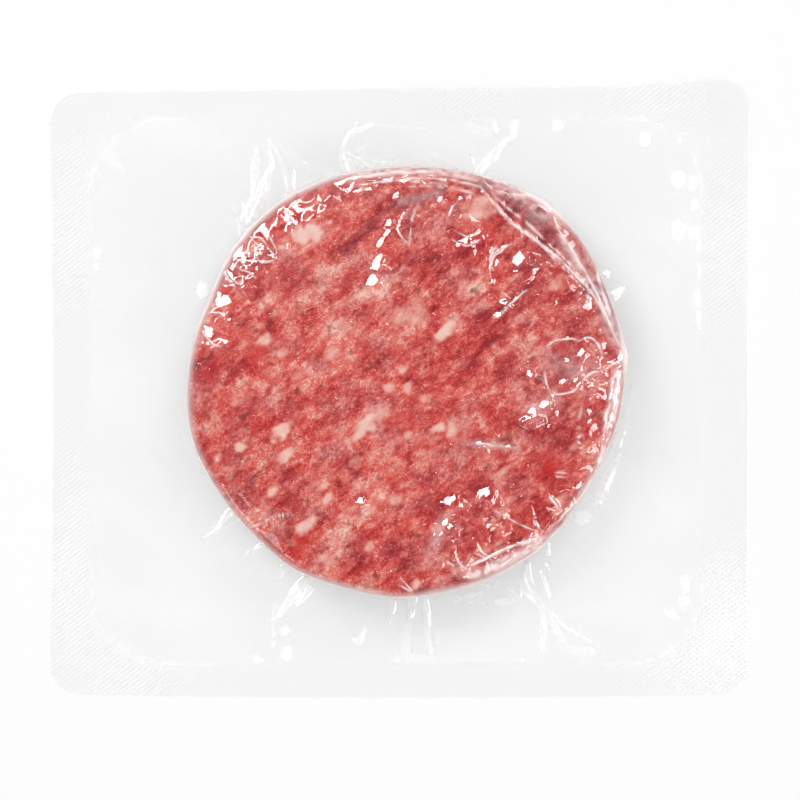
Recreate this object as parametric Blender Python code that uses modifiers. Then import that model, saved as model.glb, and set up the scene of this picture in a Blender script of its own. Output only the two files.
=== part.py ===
"""Vacuum-packed raw beef patty, lying flat with its formed side up.

Three pieces: a flat base film, a round patty of ground beef on it, and a formed film that is drawn tight over
the patty and sealed to the base film all round. +Z is up, +X runs along the pack's long side, and the origin is
in the middle of the base film's underside. All sizes are in metres.
"""

import math

import bmesh
import bpy
from mathutils import Vector, noise

# The pack's outline and the pocket inside its seal.
PACK_WIDTH = 0.1770
PACK_DEPTH = 0.1532
PACK_CORNER = 0.0070
POCKET_WIDTH = 0.1550
POCKET_DEPTH = 0.1384
POCKET_CORNER = 0.0190
POCKET_SHIFT = -0.0006

# The flange isn't quite straight: its edges bow, and its corners curl up.
FAR_EDGE_SLANT = 0.0007
FAR_CORNER_FLICK = 0.0017
NEAR_EDGE_BOW = 0.0010
LEFT_EDGE_BOW = 0.0008
CORNER_LIFTS = {(1, 1): 0.0035, (-1, 1): 0.0012, (-1, -1): 0.0008, (1, -1): 0.0012}
EDGE_WAVE = 0.0004
EDGE_WAVE_COUNT = 5

# The two films, and the space that touching pieces keep.
FILM = 0.0004
GAP = 0.0003
SEAL_ROLL = 0.0008
SKIRT_RUN = 0.0024
SKIRT_REACH = 0.0090

# The patty, a rounded puck whose outline bulges and flattens a little.
PATTY_RADIUS = 0.0543
PATTY_THICKNESS = 0.0176
PATTY_ROUNDING = 5.0
PATTY_X = 0.0013
PATTY_Y = 0.0030
PATTY_BULGES = (
    # (angle and spread in degrees, radial size)
    (44, 20, 0.0024),
    (6, 16, 0.0012),
    (95, 18, -0.0010),
    (158, 14, -0.0014),
    (196, 14, 0.0010),
    (240, 10, 0.0008),
    (268, 10, 0.0006),
    (330, 12, -0.0010),
)
PATTY_CLEARANCE = 0.0005
PATTY_DETAIL = 5

# The shoulder that has slumped, where the film bridges from the top out to the rim.
SLUMP_ANGLE = 42
SLUMP_SPREAD = 34
SLUMP_INNER_SHARE = 0.80
SLUMP_DROP = 0.30
LUMP_SIZE = 0.0080
LUMP_DEPTH = 0.0009
GRAIN_SIZE = 0.0034
GRAIN_DEPTH = 0.0006

# Fat pieces that lie level with the film, while the lean meat between them sinks a little.
FAT_PIECES = (
    # (x, y, length, width, angle in degrees)
    (-0.0225, 0.0394, 0.0100, 0.0042, 17),
    (-0.0294, -0.0102, 0.0072, 0.0044, 35),
    (-0.0095, -0.0092, 0.0094, 0.0040, 48),
    (0.0110, 0.0145, 0.0062, 0.0036, 42),
    (0.0012, 0.0185, 0.0088, 0.0074, 20),
    (0.0206, 0.0480, 0.0110, 0.0070, 25),
    (-0.0020, -0.0260, 0.0080, 0.0062, 30),
    (0.0115, -0.0085, 0.0062, 0.0036, 0),
)

# Folds where the slack film gathers between the patty and the seal.
FOLDS = (
    # (x and y of one end, x and y of the other, half width, height)
    (-0.0350, 0.0655, -0.0400, 0.0470, 0.0026, 0.0024),
    (-0.0345, 0.0655, -0.0310, 0.0515, 0.0026, 0.0026),
    (-0.0330, 0.0655, -0.0225, 0.0550, 0.0024, 0.0016),
    (-0.0125, 0.0618, 0.0215, 0.0622, 0.0046, 0.0034),
    (0.0256, 0.0680, 0.0210, 0.0565, 0.0028, 0.0028),
    (0.0560, -0.0150, 0.0510, -0.0290, 0.0030, 0.0026),
    (0.0360, -0.0430, 0.0315, -0.0655, 0.0026, 0.0024),
    (0.0365, -0.0430, 0.0440, -0.0650, 0.0028, 0.0026),
    (0.0085, -0.0525, 0.0260, -0.0515, 0.0034, 0.0026),
    (0.0030, -0.0520, 0.0028, -0.0675, 0.0026, 0.0024),
    (-0.0290, -0.0465, -0.0325, -0.0650, 0.0030, 0.0028),
    (-0.0395, -0.0365, -0.0495, -0.0395, 0.0028, 0.0026),
)

# How finely the films are divided: points round a corner, spaces along a long and a short side, and rings.
CORNER_SPACES = 8
LONG_SPACES = 20
SHORT_SPACES = 16
DOME_RINGS = (0.30, 0.55, 0.75, 0.87, 0.94, 0.975, 0.993, 1.0)
SKIRT_RINGS = (0.0008, 0.0022, 0.0045, SKIRT_REACH)
POCKET_RINGS = (0.40, 0.75, 1.0)
FLANGE_RINGS = (0.5, 1.0)
MERIDIAN_STEPS = 240

PATTY_MIDDLE = FILM + GAP + PATTY_THICKNESS / 2


def smooth(share):
    """A share from 0 to 1, eased at both ends."""
    share = min(1.0, max(0.0, share))
    return share * share * (3 - 2 * share)


def clear_scene():
    for obj in list(bpy.data.objects):
        bpy.data.objects.remove(obj, do_unlink=True)


def rounded_rectangle(width, depth, radius, shift=0.0):
    """Points round a rounded rectangle, anticlockwise from the lower end of its far right corner."""
    spaces = (LONG_SPACES, SHORT_SPACES, LONG_SPACES, SHORT_SPACES)
    corners = []
    for turn, (side_x, side_y) in enumerate(((1, 1), (-1, 1), (-1, -1), (1, -1))):
        centre = Vector((shift + side_x * (width / 2 - radius), side_y * (depth / 2 - radius)))
        angles = [math.radians(90 * (turn + step / CORNER_SPACES)) for step in range(CORNER_SPACES + 1)]
        corners.append([centre + radius * Vector((math.cos(a), math.sin(a))) for a in angles])
    points = []
    for turn, corner in enumerate(corners):
        ahead = corners[(turn + 1) % len(corners)][0]
        points += corner
        points += [corner[-1].lerp(ahead, step / spaces[turn]) for step in range(1, spaces[turn])]
    return points


def pack_outline():
    """The pack's cut edge, with the bow and slant of its sides."""
    points = rounded_rectangle(PACK_WIDTH, PACK_DEPTH, PACK_CORNER)
    for point in points:
        along = 2 * point.x / PACK_WIDTH
        across = 2 * point.y / PACK_DEPTH
        point.x += LEFT_EDGE_BOW * (1 - across * across) * smooth(-along)
        if point.y > 0:
            flick = FAR_CORNER_FLICK * smooth((along - 0.6) / 0.3)
            point.y += (FAR_EDGE_SLANT * along + flick) * smooth(across)
        else:
            point.y -= NEAR_EDGE_BOW * (1 - along * along) * smooth(-across)
    return points


def flange_lift(x, y, share):
    """How far the flange rises, at a share of its width out from the seal's inner edge."""
    side = (1 if x > 0 else -1, 1 if y > 0 else -1)
    reach = abs(2 * x / PACK_WIDTH) * abs(2 * y / PACK_DEPTH)
    wave = 0.5 + 0.5 * math.sin(EDGE_WAVE_COUNT * math.atan2(y, x))
    return smooth(share) * (CORNER_LIFTS[side] * min(reach, 1.0) ** 3 + EDGE_WAVE * wave)


def around(angle, centre, spread):
    """1 at a centre angle, falling away over a spread, both in degrees."""
    away = (math.degrees(angle) - centre + 180) % 360 - 180
    return math.exp(-((away / spread) ** 2))


def patty_radius(angle):
    """The patty's outline, as a distance from its centre."""
    return PATTY_RADIUS + sum(size * around(angle, centre, spread) for centre, spread, size in PATTY_BULGES)


def slump(angle, share):
    """What is left of the patty's upper half at an angle, at a share of its radius."""
    rim = smooth((share - SLUMP_INNER_SHARE) / (1 - SLUMP_INNER_SHARE))
    return 1 - SLUMP_DROP * rim * around(angle, SLUMP_ANGLE, SLUMP_SPREAD)


def puck_height(share):
    """Height of a rounded puck above its middle, for a half height of 1, at a share of its radius."""
    return max(0.0, 1 - share**PATTY_ROUNDING) ** (1 / PATTY_ROUNDING)


def fold_height(x, y):
    """The highest of the folds at a point of the film."""
    point = Vector((x, y))
    height = 0.0
    for x0, y0, x1, y1, half_width, top in FOLDS:
        start = Vector((x0, y0))
        run = Vector((x1, y1)) - start
        share = min(1.0, max(0.0, (point - start).dot(run) / run.length_squared))
        away = (point - start - share * run).length
        height = max(height, top * math.exp(-((away / half_width) ** 2)))
    return height


def skirt_height(x, y, out):
    """The formed film's inner face above the base film, at a distance out from the patty's side."""
    fall = PATTY_MIDDLE * math.exp(-out / SKIRT_RUN)
    return max(fall, fold_height(x, y) * smooth(out / SKIRT_RUN))


def film_sections():
    """The formed film's inner face as rings of points, from the patty's top out to the cut edge."""
    centre = Vector((PATTY_X, PATTY_Y))
    pocket = rounded_rectangle(POCKET_WIDTH, POCKET_DEPTH, POCKET_CORNER, POCKET_SHIFT)
    edge = pack_outline()
    rays = [(point - centre).normalized() for point in pocket]
    radii = [patty_radius(math.atan2(ray.y, ray.x)) for ray in rays]
    level = FILM + GAP
    rings = []
    for share in DOME_RINGS:
        top = PATTY_MIDDLE + (PATTY_THICKNESS / 2 + PATTY_CLEARANCE) * puck_height(share)
        flat = [centre + ray * (radius + PATTY_CLEARANCE) * share for ray, radius in zip(rays, radii)]
        rings.append([(p.x, p.y, top) for p in flat])
    feet = []
    for out in SKIRT_RINGS:
        feet = [centre + ray * (radius + PATTY_CLEARANCE + out) for ray, radius in zip(rays, radii)]
        rings.append([(p.x, p.y, level + skirt_height(p.x, p.y, out)) for p in feet])
    for share in POCKET_RINGS:
        flat = [foot.lerp(point, share) for foot, point in zip(feet, pocket)]
        roll = SEAL_ROLL * math.sin(math.pi * share) ** 2
        fade = smooth((1 - share) / 0.25)
        rings.append([(p.x, p.y, level + roll + fade * fold_height(p.x, p.y)) for p in flat])
    for share in FLANGE_RINGS:
        flat = [inner.lerp(outer, share) for inner, outer in zip(pocket, edge)]
        rings.append([(p.x, p.y, level + flange_lift(p.x, p.y, share)) for p in flat])
    return rings


def loft(name, rings, middle=None):
    """An open surface through rings of points. Its first ring is closed by one face, or by a fan to a middle."""
    bm = bmesh.new()
    rows = [[bm.verts.new(point) for point in ring] for ring in rings]
    count = len(rows[0])
    if middle is None:
        bm.faces.new(rows[0])
    else:
        hub = bm.verts.new(middle)
        for k in range(count):
            bm.faces.new((hub, rows[0][k], rows[0][(k + 1) % count]))
    for inner, outer in zip(rows, rows[1:]):
        for k in range(count):
            ahead = (k + 1) % count
            bm.faces.new((inner[k], outer[k], outer[ahead], inner[ahead]))
    mesh = bpy.data.meshes.new(name)
    bm.to_mesh(mesh)
    bm.free()
    return mesh


def material(name, colour, roughness, alpha=1.0):
    made = bpy.data.materials.new(name)
    made.use_nodes = True
    shader = made.node_tree.nodes["Principled BSDF"]
    shader.inputs["Base Color"].default_value = (*colour, 1.0)
    shader.inputs["Roughness"].default_value = roughness
    shader.inputs["Metallic"].default_value = 0.0
    shader.inputs["Alpha"].default_value = alpha
    made.diffuse_color = (*colour, alpha)
    return made


def add_object(name, mesh, collection, finish):
    obj = bpy.data.objects.new(name, mesh)
    collection.objects.link(obj)
    mesh.materials.append(finish)
    mesh.shade_smooth()
    mesh.set_sharp_from_angle(angle=math.radians(50))
    return obj


def give_thickness(obj):
    """Turns an open film surface into a thin solid, growing up and outwards from it."""
    solidify = obj.modifiers.new("Film thickness", "SOLIDIFY")
    solidify.thickness = FILM
    solidify.offset = 1.0


def build_base_film(collection, finish):
    """The flat film under the patty, which follows the formed film out along the flange."""
    rings = film_sections()
    foot = len(DOME_RINGS) + len(SKIRT_RINGS) - 1
    seal = foot + len(POCKET_RINGS)
    floor = [[(x, y, 0.0) for x, y, _ in rings[k]] for k in (foot, seal)]
    flange = [[(x, y, z - FILM - GAP) for x, y, z in ring] for ring in rings[seal + 1 :]]
    base = add_object("base_film", loft("base_film", floor + flange), collection, finish)
    give_thickness(base)
    return base


def build_formed_film(collection, finish):
    """The film drawn over the patty, with its skirt, folds, pocket and flange."""
    top = PATTY_MIDDLE + PATTY_THICKNESS / 2 + PATTY_CLEARANCE
    mesh = loft("formed_film", film_sections(), (PATTY_X, PATTY_Y, top))
    formed = add_object("formed_film", mesh, collection, finish)
    give_thickness(formed)
    return formed


def puck_meridian():
    """The puck's section from its equator to its pole, as (share of the area passed, share of radius, height)."""
    section = []
    for step in range(MERIDIAN_STEPS + 1):
        turn = math.pi / 2 * step / MERIDIAN_STEPS
        share = math.cos(turn) ** (2 / PATTY_ROUNDING)
        section.append((share, puck_height(share)))
    passed = [0.0]
    for (r0, h0), (r1, h1) in zip(section, section[1:]):
        length = math.hypot((r1 - r0) * PATTY_RADIUS, (h1 - h0) * PATTY_THICKNESS / 2)
        passed.append(passed[-1] + length * (r0 + r1))
    return [(area / passed[-1], share, height) for area, (share, height) in zip(passed, section)]


def on_meridian(section, area):
    """(share of radius, height) at a share of the puck's area from its equator."""
    for (a0, r0, h0), (a1, r1, h1) in zip(section, section[1:]):
        if area <= a1:
            along = (area - a0) / (a1 - a0)
            return r0 + (r1 - r0) * along, h0 + (h1 - h0) * along
    return section[-1][1:]


def meat_depth(point):
    """How far the lean meat sinks below the puck's smooth form: soft lumps, ground strands and proud fat."""
    lump = 0.5 + 0.5 * noise.noise(point / LUMP_SIZE)
    grain = abs(noise.noise(point / GRAIN_SIZE + Vector((7.0, 3.0, 5.0))))
    depth = LUMP_DEPTH * lump + GRAIN_DEPTH * grain
    if point.z < PATTY_MIDDLE:
        return depth
    for x, y, length, width, angle in FAT_PIECES:
        turn = math.radians(angle)
        dx, dy = point.x - x, point.y - y
        along = (dx * math.cos(turn) + dy * math.sin(turn)) / (length / 2)
        across = (dy * math.cos(turn) - dx * math.sin(turn)) / (width / 2)
        depth *= 1 - 0.8 * math.exp(-((along * along + across * across) ** 2))
    return depth


def build_patty(collection, finish):
    """A sphere spread evenly over a rounded puck, then sunk by the meat's relief."""
    section = puck_meridian()
    bm = bmesh.new()
    bmesh.ops.create_icosphere(bm, subdivisions=PATTY_DETAIL, radius=1.0)
    for vert in bm.verts:
        angle = math.atan2(vert.co.y, vert.co.x)
        share, height = on_meridian(section, abs(vert.co.z))
        reach = share * patty_radius(angle)
        rise = math.copysign(height * PATTY_THICKNESS / 2, vert.co.z)
        if rise > 0:
            rise *= slump(angle, share)
        vert.co = Vector(
            (PATTY_X + reach * math.cos(angle), PATTY_Y + reach * math.sin(angle), PATTY_MIDDLE + rise)
        )
    bm.normal_update()
    sunk = [vert.co - vert.normal * meat_depth(vert.co) for vert in bm.verts]
    for vert, place in zip(bm.verts, sunk):
        vert.co = place
    mesh = bpy.data.meshes.new("patty")
    bm.to_mesh(mesh)
    bm.free()
    return add_object("patty", mesh, collection, finish)


def main():
    clear_scene()
    pack = bpy.data.collections.new("Vacuum-packed beef patty")
    bpy.context.scene.collection.children.link(pack)
    clear_film = material("Clear film", (0.93, 0.94, 0.94), 0.08, alpha=0.3)
    raw_beef = material("Raw ground beef", (0.56, 0.11, 0.09), 0.45)
    build_base_film(pack, clear_film)
    build_patty(pack, raw_beef)
    build_formed_film(pack, clear_film)


main()
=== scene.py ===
import math
import random

import bmesh
import bpy
import numpy as np
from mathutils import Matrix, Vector, noise


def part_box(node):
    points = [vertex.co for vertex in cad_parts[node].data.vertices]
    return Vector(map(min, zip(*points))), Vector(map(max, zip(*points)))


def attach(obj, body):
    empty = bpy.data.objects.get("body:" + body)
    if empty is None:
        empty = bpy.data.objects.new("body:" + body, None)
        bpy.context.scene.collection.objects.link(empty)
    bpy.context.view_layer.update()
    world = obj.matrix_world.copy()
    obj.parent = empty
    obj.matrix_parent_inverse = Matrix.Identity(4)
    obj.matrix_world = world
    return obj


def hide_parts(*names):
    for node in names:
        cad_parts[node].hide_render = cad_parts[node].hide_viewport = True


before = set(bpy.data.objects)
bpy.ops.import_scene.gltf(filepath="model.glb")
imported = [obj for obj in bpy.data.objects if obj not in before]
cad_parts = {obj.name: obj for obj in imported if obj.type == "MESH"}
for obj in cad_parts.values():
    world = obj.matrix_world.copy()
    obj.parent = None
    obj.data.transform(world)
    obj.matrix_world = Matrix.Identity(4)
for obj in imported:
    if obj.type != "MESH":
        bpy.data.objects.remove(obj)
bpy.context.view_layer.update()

mm = 0.001
rng = random.Random(1207)
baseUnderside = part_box("base_film")[0][2]


def smooth(share):
    share = np.clip(share, 0.0, 1.0)
    return share * share * (3 - 2 * share)


def fade(value, start, full):
    # 0 up to the start and 1 from where it is full, with a smooth change between them
    return smooth((value - start) / (full - start))


def around(angle, centre, spread):
    # 1 in one direction, dying away to both sides of it; degrees
    away = (np.degrees(angle) - centre + 180) % 360 - 180
    return np.exp(-((away / spread) ** 2))


def noiseAt(points, size, offset=0.0):
    shift = Vector((offset, 0.7 * offset, -0.4 * offset))
    return np.array([noise.noise(Vector(p) / size + shift) for p in points])


def bumps(points, amount, size, offset):
    return amount * noiseAt(points, size, offset)


def patches(points, base, amount, size, offset, least=0.0):
    # noise about a base value, kept between the least and 1
    return np.clip(base + bumps(points, amount, size, offset), least, 1)


def aroundPatty(angle):
    # places on a circle in mm, for noise that runs round the patty
    return patty["noiseCircle"] * np.column_stack((np.cos(angle), np.sin(angle), np.zeros(angle.shape)))


def turned(x, y, degrees):
    # x and y in axes that are turned by an angle
    turn = math.radians(degrees)
    return x * math.cos(turn) + y * math.sin(turn), y * math.cos(turn) - x * math.sin(turn)


def inMm(points):
    return points[:, 0] / mm, points[:, 1] / mm


def rounded(path):
    # the same line with its corners cut twice, so that it curves
    line = np.array(path, float)
    for _ in range(2):
        start, end = line[:-1], line[1:]
        cut = np.stack((0.75 * start + 0.25 * end, 0.25 * start + 0.75 * end), 1).reshape(-1, line.shape[1])
        line = np.vstack((line[:1], cut[1:-1], line[-1:]))
    return line


def closeTo(x, y, line, reach):
    # which points lie in the box round a line
    low, high = line[:, :2].min(axis=0) - reach, line[:, :2].max(axis=0) + reach
    return np.where((x > low[0]) & (x < high[0]) & (y > low[1]) & (y < high[1]))[0]


def besidePath(x, y, path):
    # distance from each point to the line through the path's points, and how far along it is, 0 to 1
    lengths = [math.dist(a, b) for a, b in zip(path, path[1:])]
    away, along, passed = np.full(x.shape, np.inf), np.zeros(x.shape), 0.0
    for (x0, y0), (x1, y1), length in zip(path, path[1:], lengths):
        dx, dy = x1 - x0, y1 - y0
        share = np.clip(((x - x0) * dx + (y - y0) * dy) / length ** 2, 0, 1)
        here = np.hypot(x - x0 - share * dx, y - y0 - share * dy)
        along = np.where(here < away, (passed + share * length) / sum(lengths), along)
        away = np.minimum(away, here)
        passed += length
    return away, along


def alongBand(x, y, band):
    # a band is points with half widths and heights: gives each point's distance from its middle line
    # over its half width, and the band's height, at the nearest place
    share, height = np.full(x.shape, np.inf), np.zeros(x.shape)
    for (x0, y0, half0, top0), (x1, y1, half1, top1) in zip(band, band[1:]):
        dx, dy = x1 - x0, y1 - y0
        along = np.clip(((x - x0) * dx + (y - y0) * dy) / (dx * dx + dy * dy), 0, 1)
        here = np.hypot(x - x0 - along * dx, y - y0 - along * dy) / (half0 + along * (half1 - half0))
        height = np.where(here < share, top0 + along * (top1 - top0), height)
        share = np.minimum(share, here)
    return share, height


pack = {
    "width": 0.1770, "depth": 0.1532, "corner": 0.0070,
    "pocketWidth": 0.1550, "pocketDepth": 0.1384, "pocketCorner": 0.0190, "pocketShift": -0.0006,
    "farSlant": 0.0007,                             # the far edge rises to the right
    "farFlick": 0.0017, "flickZone": (0.6, 0.9),    # and flicks out near its end
    "nearBow": 0.0010, "leftBow": 0.0008,
    "cornerLifts": {(1, 1): 0.0035, (-1, 1): 0.0012, (-1, -1): 0.0008, (1, -1): 0.0012},
    "edgeWave": 0.0004, "edgeWaves": 5,
}

patty = {
    "x": 0.0013, "y": 0.0030, "radius": 0.0543, "thickness": 0.0176,
    "middle": 0.0095,                               # height of the fullest part of its side
    "rounding": 5.0,                                # 2 is a round section, more is squarer
    "noiseCircle": 54,                              # mm, about its radius
    # where its outline bulges or draws in: direction and spread in degrees, how far
    "bulges": ((44, 20, 0.0024), (6, 16, 0.0012), (95, 18, -0.0010), (158, 14, -0.0014),
               (196, 14, 0.0010), (240, 10, 0.0008), (268, 10, 0.0006), (330, 12, -0.0010)),
    "slumpAngle": 42, "slumpSpread": 34, "slumpStart": 0.80, "slumpDrop": 0.30,
    "cells": 208, "sideRings": 34, "underRings": 9,
    "coreEnd": 0.88, "sideEnd": 1.16, "underEnd": 1.90,     # along its section, 1 at the fullest part
}


def roundedRectangle(width, depth, radius, shift=0.0, steps=240, cuts=12):
    points = []
    for turn, (sideX, sideY) in enumerate(((1, 1), (-1, 1), (-1, -1), (1, -1))):
        angles = np.radians(90 * turn + np.linspace(0, 90, steps))
        points.append(np.column_stack((shift + sideX * (width / 2 - radius) + radius * np.cos(angles),
                                       sideY * (depth / 2 - radius) + radius * np.sin(angles))))
    outline = np.vstack(points)
    ahead = np.roll(outline, -1, axis=0)
    shares = np.linspace(0, 1, cuts, endpoint=False)[:, None, None]
    return np.swapaxes(outline + shares * (ahead - outline), 0, 1).reshape(-1, 2)


def packOutline():
    outline = roundedRectangle(pack["width"], pack["depth"], pack["corner"])
    along, across = 2 * outline[:, 0] / pack["width"], 2 * outline[:, 1] / pack["depth"]
    outline[:, 0] += pack["leftBow"] * (1 - across ** 2) * smooth(-along)
    far = pack["farSlant"] * along + pack["farFlick"] * fade(along, *pack["flickZone"])
    near = -pack["nearBow"] * (1 - along ** 2)
    outline[:, 1] += np.where(across > 0, far * smooth(across), near * smooth(-across))
    return outline


def bearingOf(x, y):
    return np.arctan2(y - patty["y"], x - patty["x"])


def reachAlong(outline, angles):
    # how far an outline is from the patty's centre, in each direction
    bearing = bearingOf(outline[:, 0], outline[:, 1])
    distance = np.hypot(outline[:, 0] - patty["x"], outline[:, 1] - patty["y"])
    order = np.argsort(bearing)
    return np.interp(angles, bearing[order], distance[order], period=2 * math.pi)


def toPackEdge(angle):
    return reachAlong(packOutline(), angle)


def toPocketEdge(angle):
    return reachAlong(roundedRectangle(pack["pocketWidth"], pack["pocketDepth"], pack["pocketCorner"],
                                       pack["pocketShift"]), angle)


def placeRound(radius, angle):
    return patty["x"] + radius * np.cos(angle), patty["y"] + radius * np.sin(angle)


def pattyRadius(angles):
    return patty["radius"] + sum(size * around(angles, centre, spread)
                                 for centre, spread, size in patty["bulges"])


def fromMiddle(points):
    # 0 at the patty's middle, 1 at its outline
    x, y = points[:, 0], points[:, 1]
    return np.hypot(x - patty["x"], y - patty["y"]) / pattyRadius(bearingOf(x, y))


def puckProfile(steps=4000):
    # share of radius and height along the section, by distance from the top's middle to the fullest part
    turn = np.linspace(0, math.pi / 2, steps)
    share = np.sin(turn) ** (2 / patty["rounding"])
    height = np.cos(turn) ** (2 / patty["rounding"])
    run = np.hypot(np.diff(share) * patty["radius"], np.diff(height) * patty["thickness"] / 2)
    passed = np.concatenate(([0], np.cumsum(run)))
    return passed / passed[-1], share, height


profilePassed, profileShare, profileHeight = puckProfile()


def onProfile(passed):
    # passed runs from 0, the top's middle, over 1, the fullest part, to 2, the middle underneath
    folded = np.where(passed > 1, 2 - passed, passed)
    share = np.interp(folded, profilePassed, profileShare)
    height = np.interp(folded, profilePassed, profileHeight)
    return share, np.where(passed > 1, -height, height)


def flatSheet(name, cells, rings):
    # the pattern of a piece's faces: a flat disc of squares, 1 in radius, with rings round it, 1 apart
    line = np.linspace(-1, 1, cells + 1)
    u, v = (g.ravel() for g in np.meshgrid(line, line))
    reach = np.maximum(np.abs(u), np.abs(v))
    safe = np.where(reach == 0, 1, reach)
    flat = np.abs(u) >= np.abs(v)
    angle = np.where(flat, math.pi / 4 * v / safe, math.pi / 2 - math.pi / 4 * u / safe)
    angle = np.where(flat & (u < 0), math.pi - angle, angle)
    angle = np.where(~flat & (v < 0), math.pi / 4 * u / safe - math.pi / 2, angle)
    side = cells + 1
    first = np.arange(side * cells).reshape(cells, side)[:, :-1].ravel()
    faces = [np.column_stack((first, first + 1, first + side + 1, first + side))]
    rim = np.where(reach > 1 - 1e-9)[0]
    rim = rim[np.argsort(np.mod(angle[rim], 2 * math.pi))]
    inner = rim
    for ring in range(rings):
        outer = side * side + ring * len(rim) + np.arange(len(rim))
        faces.append(np.column_stack((inner, outer, np.roll(outer, -1), np.roll(inner, -1))))
        inner = outer
    reach = np.concatenate((reach, np.repeat(np.arange(2, rings + 2), len(rim))))
    angle = np.concatenate((angle, np.tile(angle[rim], rings)))
    flatPoints = np.column_stack((reach * np.cos(angle), reach * np.sin(angle), np.zeros(reach.shape)))
    mesh = bpy.data.meshes.new(name)
    mesh.from_pydata(flatPoints.tolist(), [], np.vstack(faces).tolist())
    return mesh


def pointsOf(mesh):
    flat = np.empty(len(mesh.vertices) * 3)
    mesh.vertices.foreach_get("co", flat)
    return flat.reshape(-1, 3)


def patternOf(mesh):
    # how far out each point of the flat pattern is, and in which direction
    flat = pointsOf(mesh)
    return np.hypot(flat[:, 0], flat[:, 1]), np.arctan2(flat[:, 1], flat[:, 0])


def refine(mesh, wanted):
    # halve every edge whose two ends want finer detail
    sheet = bmesh.new()
    sheet.from_mesh(mesh)
    edges = [edge for edge in sheet.edges if wanted[edge.verts[0].index] and wanted[edge.verts[1].index]]
    bmesh.ops.subdivide_edges(sheet, edges=edges, cuts=1, use_grid_fill=True)
    sheet.to_mesh(mesh)
    sheet.free()


def shapeMesh(mesh, points, lastRing=0):
    # puts the pattern's points in their places, and closes the last ring if its length is given
    mesh.vertices.foreach_set("co", points.ravel())
    if lastRing:
        closed = bmesh.new()
        closed.from_mesh(mesh)
        closed.verts.ensure_lookup_table()
        closed.faces.new(list(reversed(closed.verts[len(points) - lastRing:])))
        closed.to_mesh(mesh)
        closed.free()
    mesh.shade_smooth()
    mesh.update()


def moveAlongNormals(mesh, amounts):
    normals = np.empty(len(mesh.vertices) * 3)
    mesh.vertex_normals.foreach_get("vector", normals)
    moved = pointsOf(mesh) + normals.reshape(-1, 3) * amounts[:, None]
    mesh.vertices.foreach_set("co", moved.ravel())
    mesh.update()


def paintMesh(mesh, **amounts):
    for name, values in amounts.items():
        layer = mesh.attributes.new(name, "FLOAT", "POINT")
        layer.data.foreach_set("value", np.clip(values, 0, 1).astype(np.float32))


def addPiece(name, mesh, material, slotName, *nodes):
    piece = bpy.data.objects.new(name, mesh)
    bpy.context.scene.collection.objects.link(piece)
    mesh.materials.append(material)
    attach(piece, "root")
    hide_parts(*nodes)
    print(name, "ready with", sum(len(face.vertices) - 2 for face in mesh.polygons), "triangles")


# a noise is amount, size and offset; a zone is where it starts and where it is full
relief = {
    "slant": 38, "stretch": 1.6,                    # the ground strands lie slantwise
    "lump": (0.0007, 0.0080),                       # depth and size
    "pasteDepth": 0.00055, "pasteNoises": ((0.36, 0.0042, 4), (0.24, 0.0021, 9), (0.15, 0.00105, 14)),
    "crackDepth": 0.00035, "crackWidth": 0.055, "crackWander": (0.0005, 0.0012, 21),
    "crackNoises": ((1.0, 0.0050, 17), (0.3, 0.0050 / 3, 6)),
    "crackPatches": (1.0, 0.0065, 30), "crackZone": (-0.10, 0.25),
    "fatHidesCracks": 0.8, "fatHidesPaste": 0.6,
    "sideCalm": 0.7, "sideZone": (0.93, 0.99), "underShare": 0.25, "underZone": (0.0012, 0.0042),
}


def lumps(points):
    depth, size = relief["lump"]
    return depth * (0.5 + 0.5 * noiseAt(points, size))


def slanted(points):
    # the same points squeezed along the strands, so that noise is stretched that way
    along, across = turned(points[:, 0], points[:, 1], relief["slant"])
    return np.column_stack((along / relief["stretch"], across, points[:, 2]))


def paste(points):
    # the fine unevenness of pressed ground meat, 0 to 1
    at = slanted(points)
    return 0.5 + sum(bumps(at, *layer) for layer in relief["pasteNoises"])


def cracks(points):
    # 1 along thin wandering cracks, which come and go
    at = slanted(points) + bumps(points, *relief["crackWander"])[:, None]
    lines = np.abs(sum(bumps(at, *layer) for layer in relief["crackNoises"]))
    comeAndGo = fade(bumps(points, *relief["crackPatches"]), *relief["crackZone"])
    return (1 - smooth(lines / relief["crackWidth"])) * comeAndGo


def sideHold(points):
    # how much of the relief is left: all of it on top, little round the full side
    return 1 - relief["sideCalm"] * fade(fromMiddle(points), *relief["sideZone"])


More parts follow.
